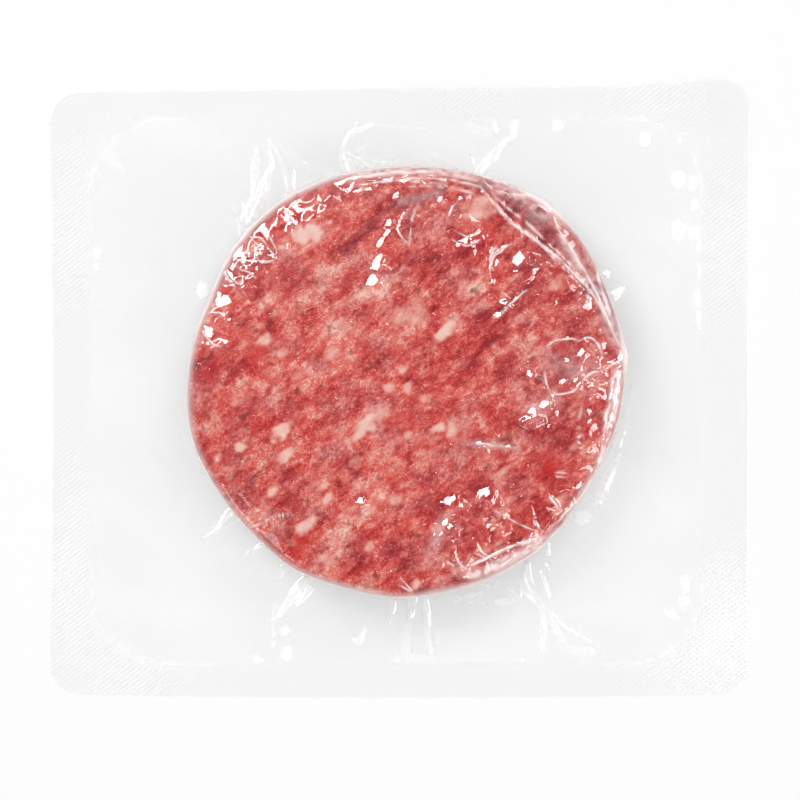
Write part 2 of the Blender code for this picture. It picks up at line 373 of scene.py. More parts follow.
fatPieces = (
    # x, y, length, width in mm, angle in degrees, how pale
    (-22.6, 39.4, 10.6, 4.6, 17, 1), (2.7, 19.2, 8.8, 6.6, 20, 0.6), (-3, 20, 4.6, 3.4, 40, 0.5),
    (-33.8, 12.8, 3.6, 2.6, 30, 0.75), (-28.8, 10, 4, 2.6, 45, 0.7), (-29.3, -10, 5.4, 3.6, 38, 0.95),
    (-28.8, -16.5, 5.2, 2.4, 48, 0.85), (-39.8, -14.1, 3.4, 2.4, 20, 0.8),
    (-45.8, -17.5, 3.2, 2.2, 60, 0.7), (-7.8, -8.2, 9.6, 3.8, 44, 0.9), (-2.8, 0.8, 2.8, 2.2, 0, 0.8),
    (2.1, 0.6, 3.4, 2.6, 50, 0.85), (6.8, -1.7, 3, 2.2, 30, 0.7), (11.4, 14.9, 5.6, 2.8, 44, 0.95),
    (0.8, 5.4, 3.2, 2.2, 60, 0.6), (10.2, -9.3, 3.2, 2.6, 20, 0.95), (12.8, -9.3, 2.8, 3.4, 0, 0.9),
    (2.1, -10.6, 2.8, 2, 70, 0.7), (-16.8, 9.6, 4.6, 3, 30, 0.5), (-22.4, 5.4, 3.4, 2.6, 50, 0.6),
    (-25.9, 3.6, 4.4, 2.8, 20, 0.45), (-10.4, -17.6, 4.2, 3, 30, 0.45), (-23.6, -33.6, 5.4, 2.8, 46, 0.85),
    (-19.3, -41.8, 3.8, 2.6, 30, 0.6), (-7.4, -39, 3, 2.4, 40, 0.6), (-18.8, -23.4, 2.8, 2, 40, 0.7),
    (-31.5, -25, 3.4, 2.2, 50, 0.7), (-17.8, -26.8, 4.6, 2, 50, 0.6), (-1, -27.3, 3.6, 3, 20, 0.6),
    (4.5, -48.4, 3.2, 2.8, 60, 0.75), (20, 45.8, 9.4, 6.6, 30, 0.72), (39.6, 27, 4.8, 3.2, 40, 0.65),
    (4.2, 52.6, 7, 3.4, 10, 0.4), (-41.6, -3, 3.4, 2.2, 30, 0.5), (26, -20, 3, 2, 45, 0.5),
    (44, -14, 3.4, 2.2, 60, 0.5),
)

fat = {
    "count": 160, "longest": 4.4, "shortest": 1.0, "mostlyShort": 2.2, "slimness": (0.40, 0.75),
    "turn": 40, "turnSpread": 24, "palest": 0.5, "reach": 0.97,     # the small strewn flecks
    "ragged": ((0.62, 0.0022, 11), (0.30, 0.0009, 3)), "edge": (1.72, 0.37),
}


def strewnFlecks():
    strewn = []
    for _ in range(fat["count"]):
        turn = rng.uniform(0, 2 * math.pi)
        reach = math.sqrt(rng.random()) * fat["reach"] * patty["radius"] / mm
        length = fat["shortest"] + (fat["longest"] - fat["shortest"]) * rng.random() ** fat["mostlyShort"]
        strewn.append((patty["x"] / mm + reach * math.cos(turn), patty["y"] / mm + reach * math.sin(turn),
                       length, length * rng.uniform(*fat["slimness"]),
                       rng.gauss(fat["turn"], fat["turnSpread"]), fat["palest"] * rng.random()))
    return strewn


def fatOver(points):
    # 0 on lean meat, up to 1 in the palest fat, with ragged edges
    ragged = sum(bumps(points, *layer) for layer in fat["ragged"])
    x, y = inMm(points)
    most = np.zeros(len(points))
    for fx, fy, length, width, degrees, pale in (*fatPieces, *strewnFlecks()):
        near = np.where((np.abs(x - fx) < length) & (np.abs(y - fy) < length))[0]
        along, across = turned(x[near] - fx, y[near] - fy, degrees)
        away = np.hypot(along / (length / 2), across / (width / 2)) + ragged[near]
        most[near] = np.maximum(most[near], pale * fade(away, *fat["edge"]))
    return onTop(points, most)


def onTop(points, amounts):
    return np.where(points[:, 2] > patty["middle"], amounts, 0)


duskyPlaces = (
    # lines and spots of darker, purplish meat, partly its own colour and partly painted shade where the film
    # stands off it:
    # points in mm, reach and strength
    (((-13.8, 34.7), (-8, 41), (0.2, 47.4), (10.3, 49.9)), 1.5, 0.9),
    (((2.7, 32.9), (12, 33), (20.5, 35.9)), 1.3, 0.6),
    (((25.6, 20.7), (30.5, 25.6), (35.7, 27.1)), 1.6, 0.7), (((-15.5, -4.6), (-12.2, -2.4)), 2.6, 0.7),
    (((-27, -26.5), (-23.5, -23.5)), 2.6, 0.5), (((3, -41.5), (7.5, -39)), 3.4, 0.6),
    (((-38, 25.5), (-20, 27.5), (-8, 27)), 2.2, 0.4), (((30.5, 12), (26, 3.5)), 2.2, 0.5),
    (((24, 49.4), (33, 44.6), (38.5, 38)), 3.4, 1), (((42, 36.5), (50.5, 24), (54, 14)), 2.6, 1),
    (((22, -30), (30, -26)), 2.6, 0.5), (((14, 22), (21, 16)), 2, 0.4),
    (((44, 16), (41, 4), (39, -10)), 9, 0.42), (((-2, 44), (8, 38)), 7, 0.35),
    (((24, -18), (18, -34)), 7, 0.3),
)
vividPlaces = (
    # spots of fresh, bright red meat
    (((36.4, -19), (37.2, -20.6)), 3.2, 1), (((-36, 9.5), (-32, 11.5)), 3.6, 0.8),
    (((-47.6, 1), (-47.6, 4.5)), 2.6, 0.8), (((-26.5, -40), (-24, -38)), 3, 0.7),
    (((8, -12.5), (17, -11)), 4, 0.55), (((-1, -9), (2, -6.5)), 3, 0.5), (((18.5, 37), (23, 42)), 4, 0.45),
    (((-43, -8), (-37, -4)), 5, 0.4),
)
placeWander = (0.5, 0.0028, 7)


def places(points, kinds):
    # how strongly each point belongs to a list of lines and spots, with wandering edges
    x, y = inMm(points)
    most = np.zeros(len(points))
    wander = 1 + bumps(points, *placeWander)
    for path, reach, strength in kinds:
        away = besidePath(x, y, path)[0] / reach * wander
        most = np.maximum(most, strength * np.exp(-away ** 2))
    return onTop(points, most)


def pattyPlaces(reach, angle):
    side, under = patty["sideRings"], patty["underRings"]
    passed = np.interp(reach, (0, 1, 1 + side, 1 + side + under),
                       (0, patty["coreEnd"], patty["sideEnd"], patty["underEnd"]))
    share, height = onProfile(passed)
    slump = 1 - patty["slumpDrop"] * fade(share, patty["slumpStart"], 1) \
        * around(angle, patty["slumpAngle"], patty["slumpSpread"])
    height = np.where(height > 0, height * slump, height)
    return np.column_stack((*placeRound(share * pattyRadius(angle), angle),
                            patty["middle"] + height * patty["thickness"] / 2))


def makePatty(material):
    mesh = flatSheet("beefPatty", patty["cells"], patty["sideRings"] + patty["underRings"])
    points = pattyPlaces(*patternOf(mesh))
    shapeMesh(mesh, points, 4 * patty["cells"])
    fatty = fatOver(points)
    crack = cracks(points) * (1 - relief["fatHidesCracks"] * fatty)
    coarse = paste(points)
    sunk = lumps(points) + relief["crackDepth"] * crack \
        + relief["pasteDepth"] * (1 - coarse) * (1 - relief["fatHidesPaste"] * fatty)
    least = relief["underShare"]
    sunk *= (least + (1 - least) * fade(points[:, 2], *relief["underZone"])) * sideHold(points)
    moveAlongNormals(mesh, -sunk)
    paintMesh(mesh, fat=fatty, crack=crack, coarse=coarse, dusky=places(points, duskyPlaces),
              vivid=places(points, vividPlaces))
    addPiece("beefPatty", mesh, material, "raw_beef", "patty")


film = {
    "cells": 130, "coreEnd": 0.88, "wallEnd": 1.11,         # along the patty's section
    # rings of faces in each zone, from the edge of the top outwards
    "rings": {"shoulder": 9, "wall": 4, "foot": 6, "skirt": 18, "seam": 3, "flange": 4, "edge": 1},
    "clearance": 0.00022,
    # where it stands further off the meat's side: direction and spread in degrees, how far
    "standOff": ((6.5, 4.5, 0.0012), (51.5, 6.0, 0.0009)),
    # the skirt: its height, how it flares from the patty's foot, and its soft rim before the seal
    "level": 0.0009, "footReach": 0.0040, "flare": 0.0006, "roll": 0.0008, "rollStart": 0.3,
    "pleatHeight": 0.0003, "pleatNoise": (5.0, 6), "pleatStart": 0.003, "pleatReach": 0.0070,
    "seamReach": 0.0009, "seamWidth": 0.00055, "seamHeight": 0.00002, "seamPatches": (0.6, 1.4, 0.004, 1),
    "edgeReach": 0.0006, "edgeDrop": 0.0002,
    # zones, each from where it starts to where it is full
    "topZone": (0, 0.004), "rimZone": (0.88, 0.96), "skirtStart": (0, 0.08), "skirtEnd": (1, 0.96),
    "foldEnd": (1, 0.95), "flangeZone": (1.0, 1.04), "cornerZone": (0.5, 0.8),
    # where the faces are halved, in the first round and in the second
    "fineSlack": 0.50, "fineFolds": (1.8, 1.3), "finePuckers": (1.7, 1.4), "fineCreases": 1.6,
    # how it follows the meat, and how it rumples where it is slack
    "lumpFollow": 0.70, "pasteFollow": 0.30, "rimFollow": 0.70,
    "rumples": ((0.0007, 0.0052, 8), (0.00018, 0.0019, 15)), "leastSlack": 0.10,
    "crestSlope": 0.42, "crestWidth": 1.35, "crestCalm": 0.80, "crestTail": 1.6,
    "crestRagged": (0.20, 0.0035, 12), "crestTattered": (0.55, 0.0016, 2), "crestReach": (1.2, 4.0),
    "crestEnds": 3.5, "crestBand": (0.7, 4), "rumpleSharp": 3,
    "creaseWidth": 0.90, "creaseTop": 0.45, "creaseSharp": 1.3, "creaseWander": (0.30, 0.0024, 5),
    "creaseWhite": (0.50, 0.95), "creaseFades": (0.84, 1.1, 0.0026, 44, 0.30),
    "creaseTaper": (4.2, 0.7), "creaseEnd": 0.06, "creaseReach": 1.5, "creaseGlow": 0.6,
    "foldSpread": 1.7, "foldTop": 0.45, "foldRound": 0.15, "foldWander": (0.30, 0.0060, 5),
    "foldEdge": (1.30, 0.68), "foldReach": 2.5, "foldSharp": 1.3,
    "puckerTop": 0.10, "puckerSharp": 1.5, "puckerRagged": (0.16, 0.0012, 16), "puckerEdge": (1.30, 0.55),
    # how milky it is, with painted highlights and sheen in the milk: the veils and creases over the meat, the
    # folds, the blisters and the seal
    "veilMilk": 0.85, "veilPatches": (0.80, 1.2, 0.0014, 33), "creaseGlare": 1.0, "puckerGlare": 0.9,
    "foldGlare": 0.66, "foldStreaks": (0.86, 0.45, 1.0, 9),
    "seamGlare": 0.38, "seamShare": 0.022, "straightSeam": 0.16, "seamStreaks": (0.5, 1.8, 0.0022, 4),
    # the steep side round the meat: least milk, more of it in some directions as painted light on the sides
    # towards the lamps, and the height it stops at
    "wallMilkAndLight": 0.30, "wallPaintedLight": ((140, 42, 0.54), (300, 46, 0.40)), "standOffMilk": 0.55,
    "standOffSpread": 1.3, "wallZone": (0.955, 1), "wallSharp": 1.4, "wallReach": 0.0007,
    "wallFoot": (0.0104, 0.0128),
    # the skirt at the patty's foot: painted light that lightens its shade, how much it varies and the
    # direction of the most; then its clouds
    "footPaintedLight": 0.17, "footSwing": 0.15, "footLitFrom": 140, "footPaintedLightReach": 0.0050,
    "clouds": (0, 2.2, 0.016, 27), "cloudMilk": 0.15, "cloudStretch": (1.6, 2.4),
    # how soon the meat's painted pink bounce light and its veils die away outside the patty's outline
    "outside": 1.004, "veilReach": 0.0010, "bouncePinkStart": 0.0002, "bouncePinkReach": 0.0006,
}

slackPlaces = (
    # where the film is slack: x, y, reach in mm, amount
    (-37, 33, 10, 0.9), (-24, 46, 9, 0.9), (-46, 17, 7, 0.8), (-47, 11, 6, 0.8), (-6, 31, 7, 0.8),
    (-1, 41, 6, 0.8), (17, 40, 8, 0.9), (29, 30, 11, 1), (41, 22, 8, 0.9), (44, 5, 11, 1), (33, -3, 8, 0.9),
    (24, -12, 7, 0.8), (21, -35, 12, 1), (10, -33, 8, 0.9), (36, -30, 9, 1), (16, -43, 8, 0.9),
    (1, -49, 5, 0.8), (-10, -28, 3, 0.7), (52, -12, 6, 0.8),
)
crests = (
    # where the slack film stands up with one flank to the light: x, y, length, width in mm, direction
    (-18.3, 48.8, 4, 1.8, 40), (-23, 43.5, 4.6, 1.7, 55), (-19.3, 45.9, 3.6, 1.4, 60),
    (-30.8, 43.5, 1.6, 0.9, 40), (-32.4, 41.2, 1.8, 1, 60), (-27.7, 39.8, 3, 1.7, 75),
    (-27.2, 36.2, 4.6, 1, 85), (-34.9, 32.8, 3.2, 1.9, 60), (-39.8, 26.9, 3.8, 2.4, 45),
    (-37.5, 29, 1.8, 1.1, 40), (-37.8, 31.8, 1.5, 1.1, 50), (-40.3, 31, 2.6, 1.2, 60),
    (-42.5, 26.2, 2, 0.9, 70), (-44.3, 26.4, 1.8, 0.8, 60), (-46.6, 18.2, 3, 1.9, 60),
    (-45.7, 12.2, 4.4, 1.1, 20), (-43.2, 12.2, 1.8, 1.2, 30), (-4.6, 36.4, 3.4, 1.2, 62),
    (-5, 33, 3.2, 1.1, 60), (-6, 31, 3.4, 1.8, 62), (-6.6, 27.4, 3.8, 1.9, 62), (-6, 24.2, 2.8, 1, 60),
    (-2.6, 42, 2.8, 1.1, 65), (-3.2, 39.2, 2.8, 1, 65), (13, 45, 4, 1, 66), (10.4, 47.6, 1.8, 0.9, 40),
    (16, 37.2, 4.6, 1.3, 20), (19.6, 39.6, 2, 1, 50), (23, 35, 2.2, 0.9, 60), (29.1, 32.2, 4.8, 2.3, 62),
    (24.3, 31.6, 3.4, 0.7, 75), (32.6, 32.6, 1.4, 0.8, 30), (36.4, 31.4, 1.9, 1, 50),
    (25.6, 22, 3, 1.8, 55), (25, 18.8, 3.4, 1.7, 40), (29.2, 22.6, 3.4, 0.8, 25), (32.6, 4.3, 2.3, 1.9, 40),
    (40.9, 9.4, 1.6, 0.8, 20), (45, 9.6, 2.8, 1.3, 65), (48.4, 9.2, 3, 1.5, 65), (40.4, 2.4, 1.9, 1.2, 55),
    (44.2, 2.7, 3.4, 2, 50), (27, -0.3, 2.6, 1.1, 35), (28.6, -0.9, 2, 0.7, 40), (33.2, -5.2, 6.4, 2.3, 18),
    (36.4, -3, 3.2, 1.6, 30), (20.2, -12.9, 2.8, 1.3, 26), (27.2, -13.9, 2.2, 1, 26),
    (23.4, -8.9, 2.2, 0.7, -30), (45.6, -7.6, 2.6, 1, 50), (26.4, -22.9, 3.4, 1.5, 32),
    (21.6, -25.1, 5, 2.1, 30), (12.2, -27.2, 5, 2.2, 50), (11.9, -33.4, 3, 2.2, 50),
    (9.4, -35.8, 3.6, 1.7, 54), (7.4, -38.6, 2, 1.3, 30), (6.8, -41, 1.8, 1.1, 20),
    (6.2, -43.8, 2.2, 0.9, 60), (22.4, -32.8, 3.6, 1.4, 35), (24, -34.8, 3.2, 1.7, 60),
    (26.8, -34.1, 3, 1.2, 80), (25.9, -37.3, 1.9, 1, 30), (30.6, -36.7, 5, 2.1, 36),
    (19.6, -38.4, 3.6, 0.9, -50), (13.7, -43.3, 2.6, 1.4, 32), (37.4, -30.6, 2.6, 1.2, 60),
    (39.2, -31.8, 2, 1.2, 45), (-9.6, -27.6, 1.8, 1.6, 50), (48.8, -17.6, 2.2, 0.8, 60),
    (24.1, -10.6, 2, 0.8, 20), (13.7, -39.6, 2.4, 0.9, 30), (20.8, -41, 2, 0.8, 15),
    (12.2, -45.8, 1.6, 0.8, 40), (45.4, -4.4, 2.8, 0.9, 15), (45, -9.8, 3, 0.9, 70),
    (38.6, -27.8, 3, 1, -50), (2.7, 53, 3, 0.9, 20), (15.6, 47.8, 2.6, 0.9, 55), (28.9, 40.2, 1.4, 0.9, 40),
    (18.6, 26.2, 1.8, 0.9, 45), (37.4, 17.4, 1.6, 0.8, 60), (8.8, 30.4, 2, 0.8, 60),
    (-0.6, 48.4, 2.4, 0.8, 30), (33.4, -14.8, 1.6, 0.8, 30), (46.8, -13.4, 2.2, 0.8, 65),
)
creases = (
    # thin sharp folds in the film over the meat: their points in mm, half width and height
    (((21.6, 53.2), (27.6, 52), (32, 49.6), (36.6, 47.6)), 0.7, 0.7),
    (((20.9, 52.9), (23.4, 50.5), (27.6, 49.3), (32.6, 49), (36.6, 47.9)), 0.34, 0.6),
    (((36.6, 48), (38.4, 44.8), (39.6, 41), (41.8, 36.8), (45.3, 32.1), (48.2, 27), (50.8, 21.4),
     (53.3, 15), (56, 9.6)), 0.42, 0.7),
    (((20.1, 51.5), (25.1, 44.8), (30.1, 40.3), (35.1, 37), (41.4, 31.8), (47.6, 25.3), (51.4, 19.8),
     (54.3, 13.3), (56, 8.6)), 0.46, 0.7),
    (((22, 51), (27, 45.6), (31.5, 42.6), (38, 36.2), (43.1, 31.4), (48.4, 24.6),
     (52.6, 16.8)), 0.28, 0.42),
    (((30.1, 41.3), (36.4, 35.3), (43.1, 29), (47.6, 23)), 0.26, 0.3),
    (((49, 32), (50, 27.8), (51.4, 23.3), (53.2, 17.8)), 0.7, 0.6),
    (((56.2, 7.3), (53.8, 4.8), (52.8, 0.8), (52.1, -3.4), (51.6, -8.4), (50.6, -14.6), (49.2, -19.6),
     (47.2, -23.9), (44.2, -27.4), (40, -31.8), (36.9, -35.2)), 0.44, 0.85),
    (((56, 7), (55.6, 2.4), (54.6, -3.4), (52.9, -9.6), (51, -15.1), (48.6, -20.9),
     (45.4, -26.4)), 0.34, 0.5),
    (((52, 6.4), (54, 7.2), (56, 8)), 0.36, 0.3),
    (((36.9, -35.6), (33.4, -36.8), (28, -38.4), (21.8, -41.8), (15.5, -44)), 0.46, 0.7),
    (((36.9, -36.2), (30.3, -40.6), (24.1, -44), (19.6, -46.4)), 0.42, 0.6),
    (((34, -37.8), (28.8, -40.4), (24, -43)), 0.8, 0.2),
    (((-13, 53.2), (0.2, 55), (10.2, 54.8), (19.5, 52.9)), 0.66, 0.6),
    (((-12, 51.4), (0.2, 53.2), (12.7, 53.2), (20.6, 51.2)), 0.44, 0.5),
    (((2, 51), (10.2, 51.6), (20.1, 49.3)), 0.28, 0.3), (((-4, 54.2), (4, 52), (12, 51.8)), 0.26, 0.3),
    (((-37.5, 39), (-35.8, 36.8), (-34, 35.8)), 0.32, 0.3),
    (((-33, 39.3), (-31.3, 36.8), (-30.3, 34.3)), 0.28, 0.24),
    (((-44, 30.8), (-42.8, 28), (-40.8, 25.8)), 0.3, 0.28),
    (((-28.5, 44), (-26.5, 41.8), (-26.5, 39)), 0.34, 0.3),
    (((-30.3, 33.3), (-32.3, 32.3), (-34.8, 32.5)), 0.32, 0.28),
    (((-49, 14.6), (-46.5, 11.6), (-44.2, 11.1)), 0.4, 0.36),
    (((13.2, 37.8), (16.7, 35.8), (20.1, 37.8)), 0.4, 0.34),
    (((14, 40), (17.5, 38), (20.6, 40.4)), 0.34, 0.26),
    (((23.9, 36.5), (22.6, 32.3), (23.6, 29.8)), 0.34, 0.3),
    (((22.6, 32.3), (24.6, 35.3), (27.1, 36.5)), 0.34, 0.3),
    (((36.4, 10.4), (38.1, 12.4), (42.6, 13.4), (44.4, 12.8)), 0.34, 0.3),
    (((44.6, 12.4), (48.1, 13.6), (50.1, 11.1), (50.6, 8.6)), 0.36, 0.32),
    (((36.2, 5.3), (36.6, 1.6), (38.4, -0.9), (42.1, -0.9), (45.1, 1.6)), 0.34, 0.3),
    (((45.1, 1.6), (47.6, 4.6), (51.4, 5.3), (53.2, 6.4)), 0.38, 0.34),
    (((36.4, 3.6), (36.9, 1.1), (38.1, -0.9)), 0.36, 0.28),
    (((18.9, -13.1), (21.4, -13.1), (27.1, -14.1)), 0.3, 0.2), (((37.4, -26.1), (40.4, -30.1)), 0.46, 0.42),
    (((33.4, -32.4), (35.6, -34.9)), 0.3, 0.26),
    (((23.6, -29.6), (26.9, -31.4), (29.4, -33.1), (32.9, -34.4), (35.6, -35.1)), 0.26, 0.24),
    (((39.1, -20.4), (42.1, -20.4)), 0.26, 0.24), (((39.1, -21.4), (41.9, -21.6)), 0.26, 0.24),
    (((14.2, -38.9), (14.4, -42.8), (17.9, -45.1), (21.9, -45.8)), 0.34, 0.34),
    (((11.9, -42.6), (13.7, -43.6)), 0.34, 0.34), (((0.2, -46.6), (3.9, -50.6), (0.2, -48.6)), 0.32, 0.32),
    (((19.1, -40.6), (21.9, -41.8)), 0.34, 0.3),
    (((-38, -34.4), (-31.1, -31.4), (-26.8, -30.6)), 0.3, 0.24),
    (((-37, -35.2), (-30.8, -32.4)), 0.24, 0.18),
    (((2.9, 45.8), (0.4, 43), (-0.6, 40.5), (0.9, 37.8), (2.9, 36.3)), 0.34, 0.4),
    (((4.7, 46.8), (3.4, 43.5), (2.9, 40), (2.7, 36.3)), 0.28, 0.22),
    (((-37, 38.2), (-35, 38.7), (-33.1, 36.8), (-31.8, 34.3), (-29.8, 32.4)), 0.28, 0.32),
    (((-35, 36.3), (-36, 33.8), (-34, 31.5), (-31.8, 32.4)), 0.28, 0.34),
    (((-43.3, 30.5), (-41.8, 28), (-39.4, 26.2), (-38.9, 28.5)), 0.28, 0.34),
    (((-40.8, 32.8), (-40.3, 30.5), (-37, 29.5), (-35.5, 28)), 0.26, 0.3),
    (((28, 36.8), (25.4, 35), (23.1, 32.4), (22.6, 28.5), (23.6, 27)), 0.32, 0.34),
    (((31.9, 25.3), (28, 22.3), (25.4, 19.1), (23.6, 18.1)), 0.34, 0.26),
    (((26.1, 43), (28.9, 41.5), (30.9, 39.5), (30.6, 38.1)), 0.28, 0.3),
    (((12.2, 43.5), (13.2, 45.8), (15.5, 48.3)), 0.28, 0.26), (((46.7, 21.8), (47.2, 24.8)), 0.26, 0.4),
    (((45.6, -4.6), (44.9, -7.7), (44.6, -11.6), (45.4, -15.4)), 0.28, 0.28),
    (((19.4, -37.5), (19.9, -39.9), (22.6, -41.3)), 0.28, 0.3),
)
folds = (
    # where slack film gathers round the patty: how white a fold looks, partly the doubled film's milkiness
    # and partly a painted highlight on its flanks, then its points in mm, each with the fold's half width and
    # height there
    (0.95, (-33.3, 64.4, 0.25, 0.2), (-32.8, 61.3, 0.4, 0.5), (-32.3, 57.5, 0.8, 1.2),
     (-33.9, 53.2, 1, 2.2), (-35.9, 47.4, 2, 3.6), (-37.9, 43.1, 1.6, 4.8)),
    (0.95, (-36.4, 62.1, 0.3, 0.2), (-36.4, 55.8, 1.4, 1), (-37.2, 49.7, 0.6, 1.6)),
    (0.9, (-33.3, 64.4, 0.2, 0.2), (-30, 58.8, 0.6, 1), (-28.8, 55.8, 0.8, 2), (-27.8, 49.1, 1.3, 4.6)),
    (0.8, (-26.5, 56.3, 0.3, 0.6), (-26.2, 51.2, 0.9, 3)),
    (0.35, (-32.8, 64.1, 0.3, 0.2), (-25.2, 58.3, 0.5, 0.8), (-18.1, 54.2, 0.9, 2.4)),
    (0.3, (-29.3, 61.3, 0.6, 0.2), (-23.9, 55, 2.2, 0.8)),
    (0.9, (-39.7, 48.4, 0.3, 0.4), (-38.2, 43.6, 1, 2.6)),
    (0.8, (-41.5, 45.6, 0.3, 0.4), (-40.2, 39.5, 0.8, 2.4)),
    (0.45, (-47, 37, 0.6, 0.3), (-43.2, 33.6, 1.3, 2.4)),
    (1, (-6.9, 67.4, 0.35, 0.3), (-12, 65.4, 0.4, 0.5), (-14.3, 62.4, 0.6, 0.9), (-14.8, 58.8, 0.9, 1.4),
     (-13.5, 56, 1.1, 2)),
    (0.9, (-12.8, 58.6, 1, 0.6), (-11.5, 56, 1.4, 1.6)),
    (0.8, (-8.5, 62.4, 0.3, 0.3), (-10.5, 60.3, 0.9, 0.5)),
    (0.9, (-13.3, 60.8, 0.3, 0.5), (-9.5, 58.2, 0.5, 0.9), (-6.9, 56.6, 0.8, 1.6)),
    (0.9, (-1.3, 57.7, 0.25, 0.3), (-6.4, 58.5, 0.5, 0.6)),
    (0.7, (-11, 68.7, 0.3, 0.1), (-10.7, 67.2, 0.3, 0.1)),
    (0.35, (8, 66.2, 0.5, 0.3), (0.2, 66.9, 0.5, 0.4), (-6.9, 68, 0.5, 0.4)),
    (0.85, (29.4, 68.2, 0.8, 0.3), (29.1, 64.9, 0.9, 0.4)),
    (0.8, (28.1, 64.4, 0.4, 0.4), (25.6, 62.1, 1.1, 1), (23, 58, 1.4, 2.4), (20.8, 55.2, 1.3, 4)),
    (0.8, (23.5, 68.7, 1, 0.3), (24.6, 65.7, 0.5, 0.2)),
    (0.3, (16.9, 66.9, 1.6, 0.2), (23, 65.4, 1.4, 0.2)),
    (0.6, (18.5, 59.8, 0.4, 0.5), (19.4, 56.6, 0.7, 2)), (0.6, (57.2, 26.6, 0.4, 0.4), (54.6, 24.3, 1, 2)),
    (0.4, (54, 31.2, 0.3, 0.3), (52.4, 29.3, 0.8, 1.6)),
    (0.35, (59.4, 1.6, 0.4, 0.3), (58, -6.7, 0.8, 0.7), (55.6, -13.8, 0.8, 1.2)),
    (0.85, (56.5, -15.4, 0.3, 0.3), (53.6, -20.2, 1.2, 1.8), (50.6, -27.4, 1.3, 2)),
    (0.7, (52.2, -22.5, 0.5, 1.2), (49.8, -29, 0.5, 1.4)),
    (0.6, (41.8, -63.4, 0.7, 0.3), (39, -58.6, 0.9, 0.8), (36, -54.2, 1.1, 1.6), (33.2, -50.9, 1.2, 2.4),
     (31.4, -47.4, 1.3, 4), (32.2, -43.6, 0.5, 5)),
    (0.7, (36, -65.2, 0.9, 0.2), (37, -60.1, 0.9, 0.5), (36.2, -54.7, 0.9, 1.4)),
    (0.95, (50, -64.1, 0.25, 0.3), (42.3, -60.1, 0.3, 0.4), (38.3, -56, 0.4, 0.9)),
    (0.35, (42.3, -65.7, 1.2, 0.2), (48.4, -66.2, 1.4, 0.2)),
    (0.5, (37.8, -52.4, 0.5, 1.2), (36, -46.5, 0.7, 3.4)),
    (0.5, (38.3, -53, 0.4, 0.6), (37.4, -45.3, 0.4, 1.6), (37.2, -38.5, 0.5, 3)),
    (0.9, (30.7, -52.5, 0.4, 0.8), (31.2, -47.9, 0.5, 1.6), (32.2, -43.6, 0.4, 3)),
    (0.45, (1.2, -68.2, 1.6, 0.2), (2.2, -59.3, 1.1, 0.6), (3.5, -52.5, 0.7, 3.4)),
    (0.9, (8.3, -66.2, 0.5, 0.2), (7.3, -63.1, 0.5, 0.4), (7.3, -58.5, 0.8, 1), (6.3, -52.7, 0.4, 3)),
    (0.6, (10.1, -63.4, 0.4, 0.2), (9.3, -60.6, 0.3, 0.2)),
    (0.4, (-1.3, -68.3, 1.2, 0.15), (5.3, -68, 1.4, 0.2), (12.9, -68.4, 1, 0.15)),
    (0.95, (14.2, -52.2, 0.5, 0.8), (18, -51.7, 0.9, 1), (22.5, -50.2, 0.4, 1)),
    (0.8, (14.4, -53, 0.25, 0.4), (22, -53.5, 0.25, 0.4)),
    (0.8, (20.8, -48.4, 0.3, 1), (22.3, -49.4, 0.3, 1), (24.3, -49.4, 0.3, 1), (24.8, -47.6, 0.3, 1)),
    (1, (24.8, -53.5, 0.9, 0.7), (28.4, -53.2, 0.7, 0.7), (30.9, -52.2, 0.6, 0.7)),
    (0.8, (30.9, -52.2, 0.4, 0.7), (29.1, -50.4, 0.5, 0.7), (27.1, -49.4, 0.3, 0.7)),
    (0.35, (-1.9, -62.1, 0.3, 0.2), (-1.6, -53.5, 0.5, 2.4)),
    (1, (-49.4, -37.2, 0.3, 0.2), (-45.5, -34.7, 0.8, 1.4), (-42.3, -31.4, 1.4, 3.6)),
    (0.8, (-48.8, -36.5, 0.25, 0.2), (-46.6, -33.4, 0.5, 0.8)),
    (1, (-40.2, -41.3, 0.25, 0.2), (-37.4, -40.3, 0.45, 1), (-34.4, -39, 0.4, 2.6)),
    (0.9, (-30, -47.4, 0.5, 0.8), (-29.3, -44.8, 0.4, 2.6)),
    (1, (-31.3, -58, 0.3, 0.2), (-27.8, -53.2, 1.4, 1.4), (-25, -49.4, 1.2, 2.8), (-23.4, -47.2, 0.5, 4)),
    (1, (-26.2, -54, 0.6, 1), (-22.7, -49.6, 0.7, 2.8)),
    (0.7, (-31.8, -64.6, 0.25, 0.2), (-31.8, -58, 0.3, 0.3), (-31.3, -53.7, 0.3, 0.6)),
    (0.95, (-10, -63.4, 1.2, 0.5), (-8.2, -60.1, 0.3, 0.4)),
    (0.7, (-12, -62.6, 0.3, 0.3), (-10, -63.4, 0.8, 0.3)),
    (0.4, (-73, 58.8, 1.2, 0.2), (-69.9, 56.3, 0.6, 0.2)),
)
puckers = (
    # small blisters, painted white as a highlight, most of them along the seal: x, y, half width and half
    # depth in mm
    (46.4, -31.9, 2.6, 2.2), (-49.9, 25.8, 1.8, 2.6), (62.4, 63.9, 1.5, 2), (70.8, 53.7, 1.8, 2.3),
    (74.6, 52.7, 1.3, 1.8), (75.2, 47.4, 1, 1.3), (70.8, 41, 1.9, 2.8), (74.9, 40.3, 1.8, 2),
    (76.1, 36.7, 0.8, 1.8), (76.4, 30.9, 1, 2), (75.9, 23.7, 1.4, 2.4), (76.4, 18.2, 1.1, 2.3),
    (40.3, 67.6, 1.5, 1.5), (-76.9, 35.4, 1.1, 1.1), (-76.9, 31.6, 0.9, 0.9), (72.6, -48.9, 1.3, 2.4),
    (72.2, -53.2, 1.5, 1.3), (68.9, -56.5, 1.3, 1.1), (-29, -60.8, 1.1, 1.1), (-28.5, -66.4, 1.4, 2),
    (-36.1, -68.3, 1.1, 1.1), (31.4, -68.3, 0.6, 0.6), (19, 69, 0.7, 0.5),
)
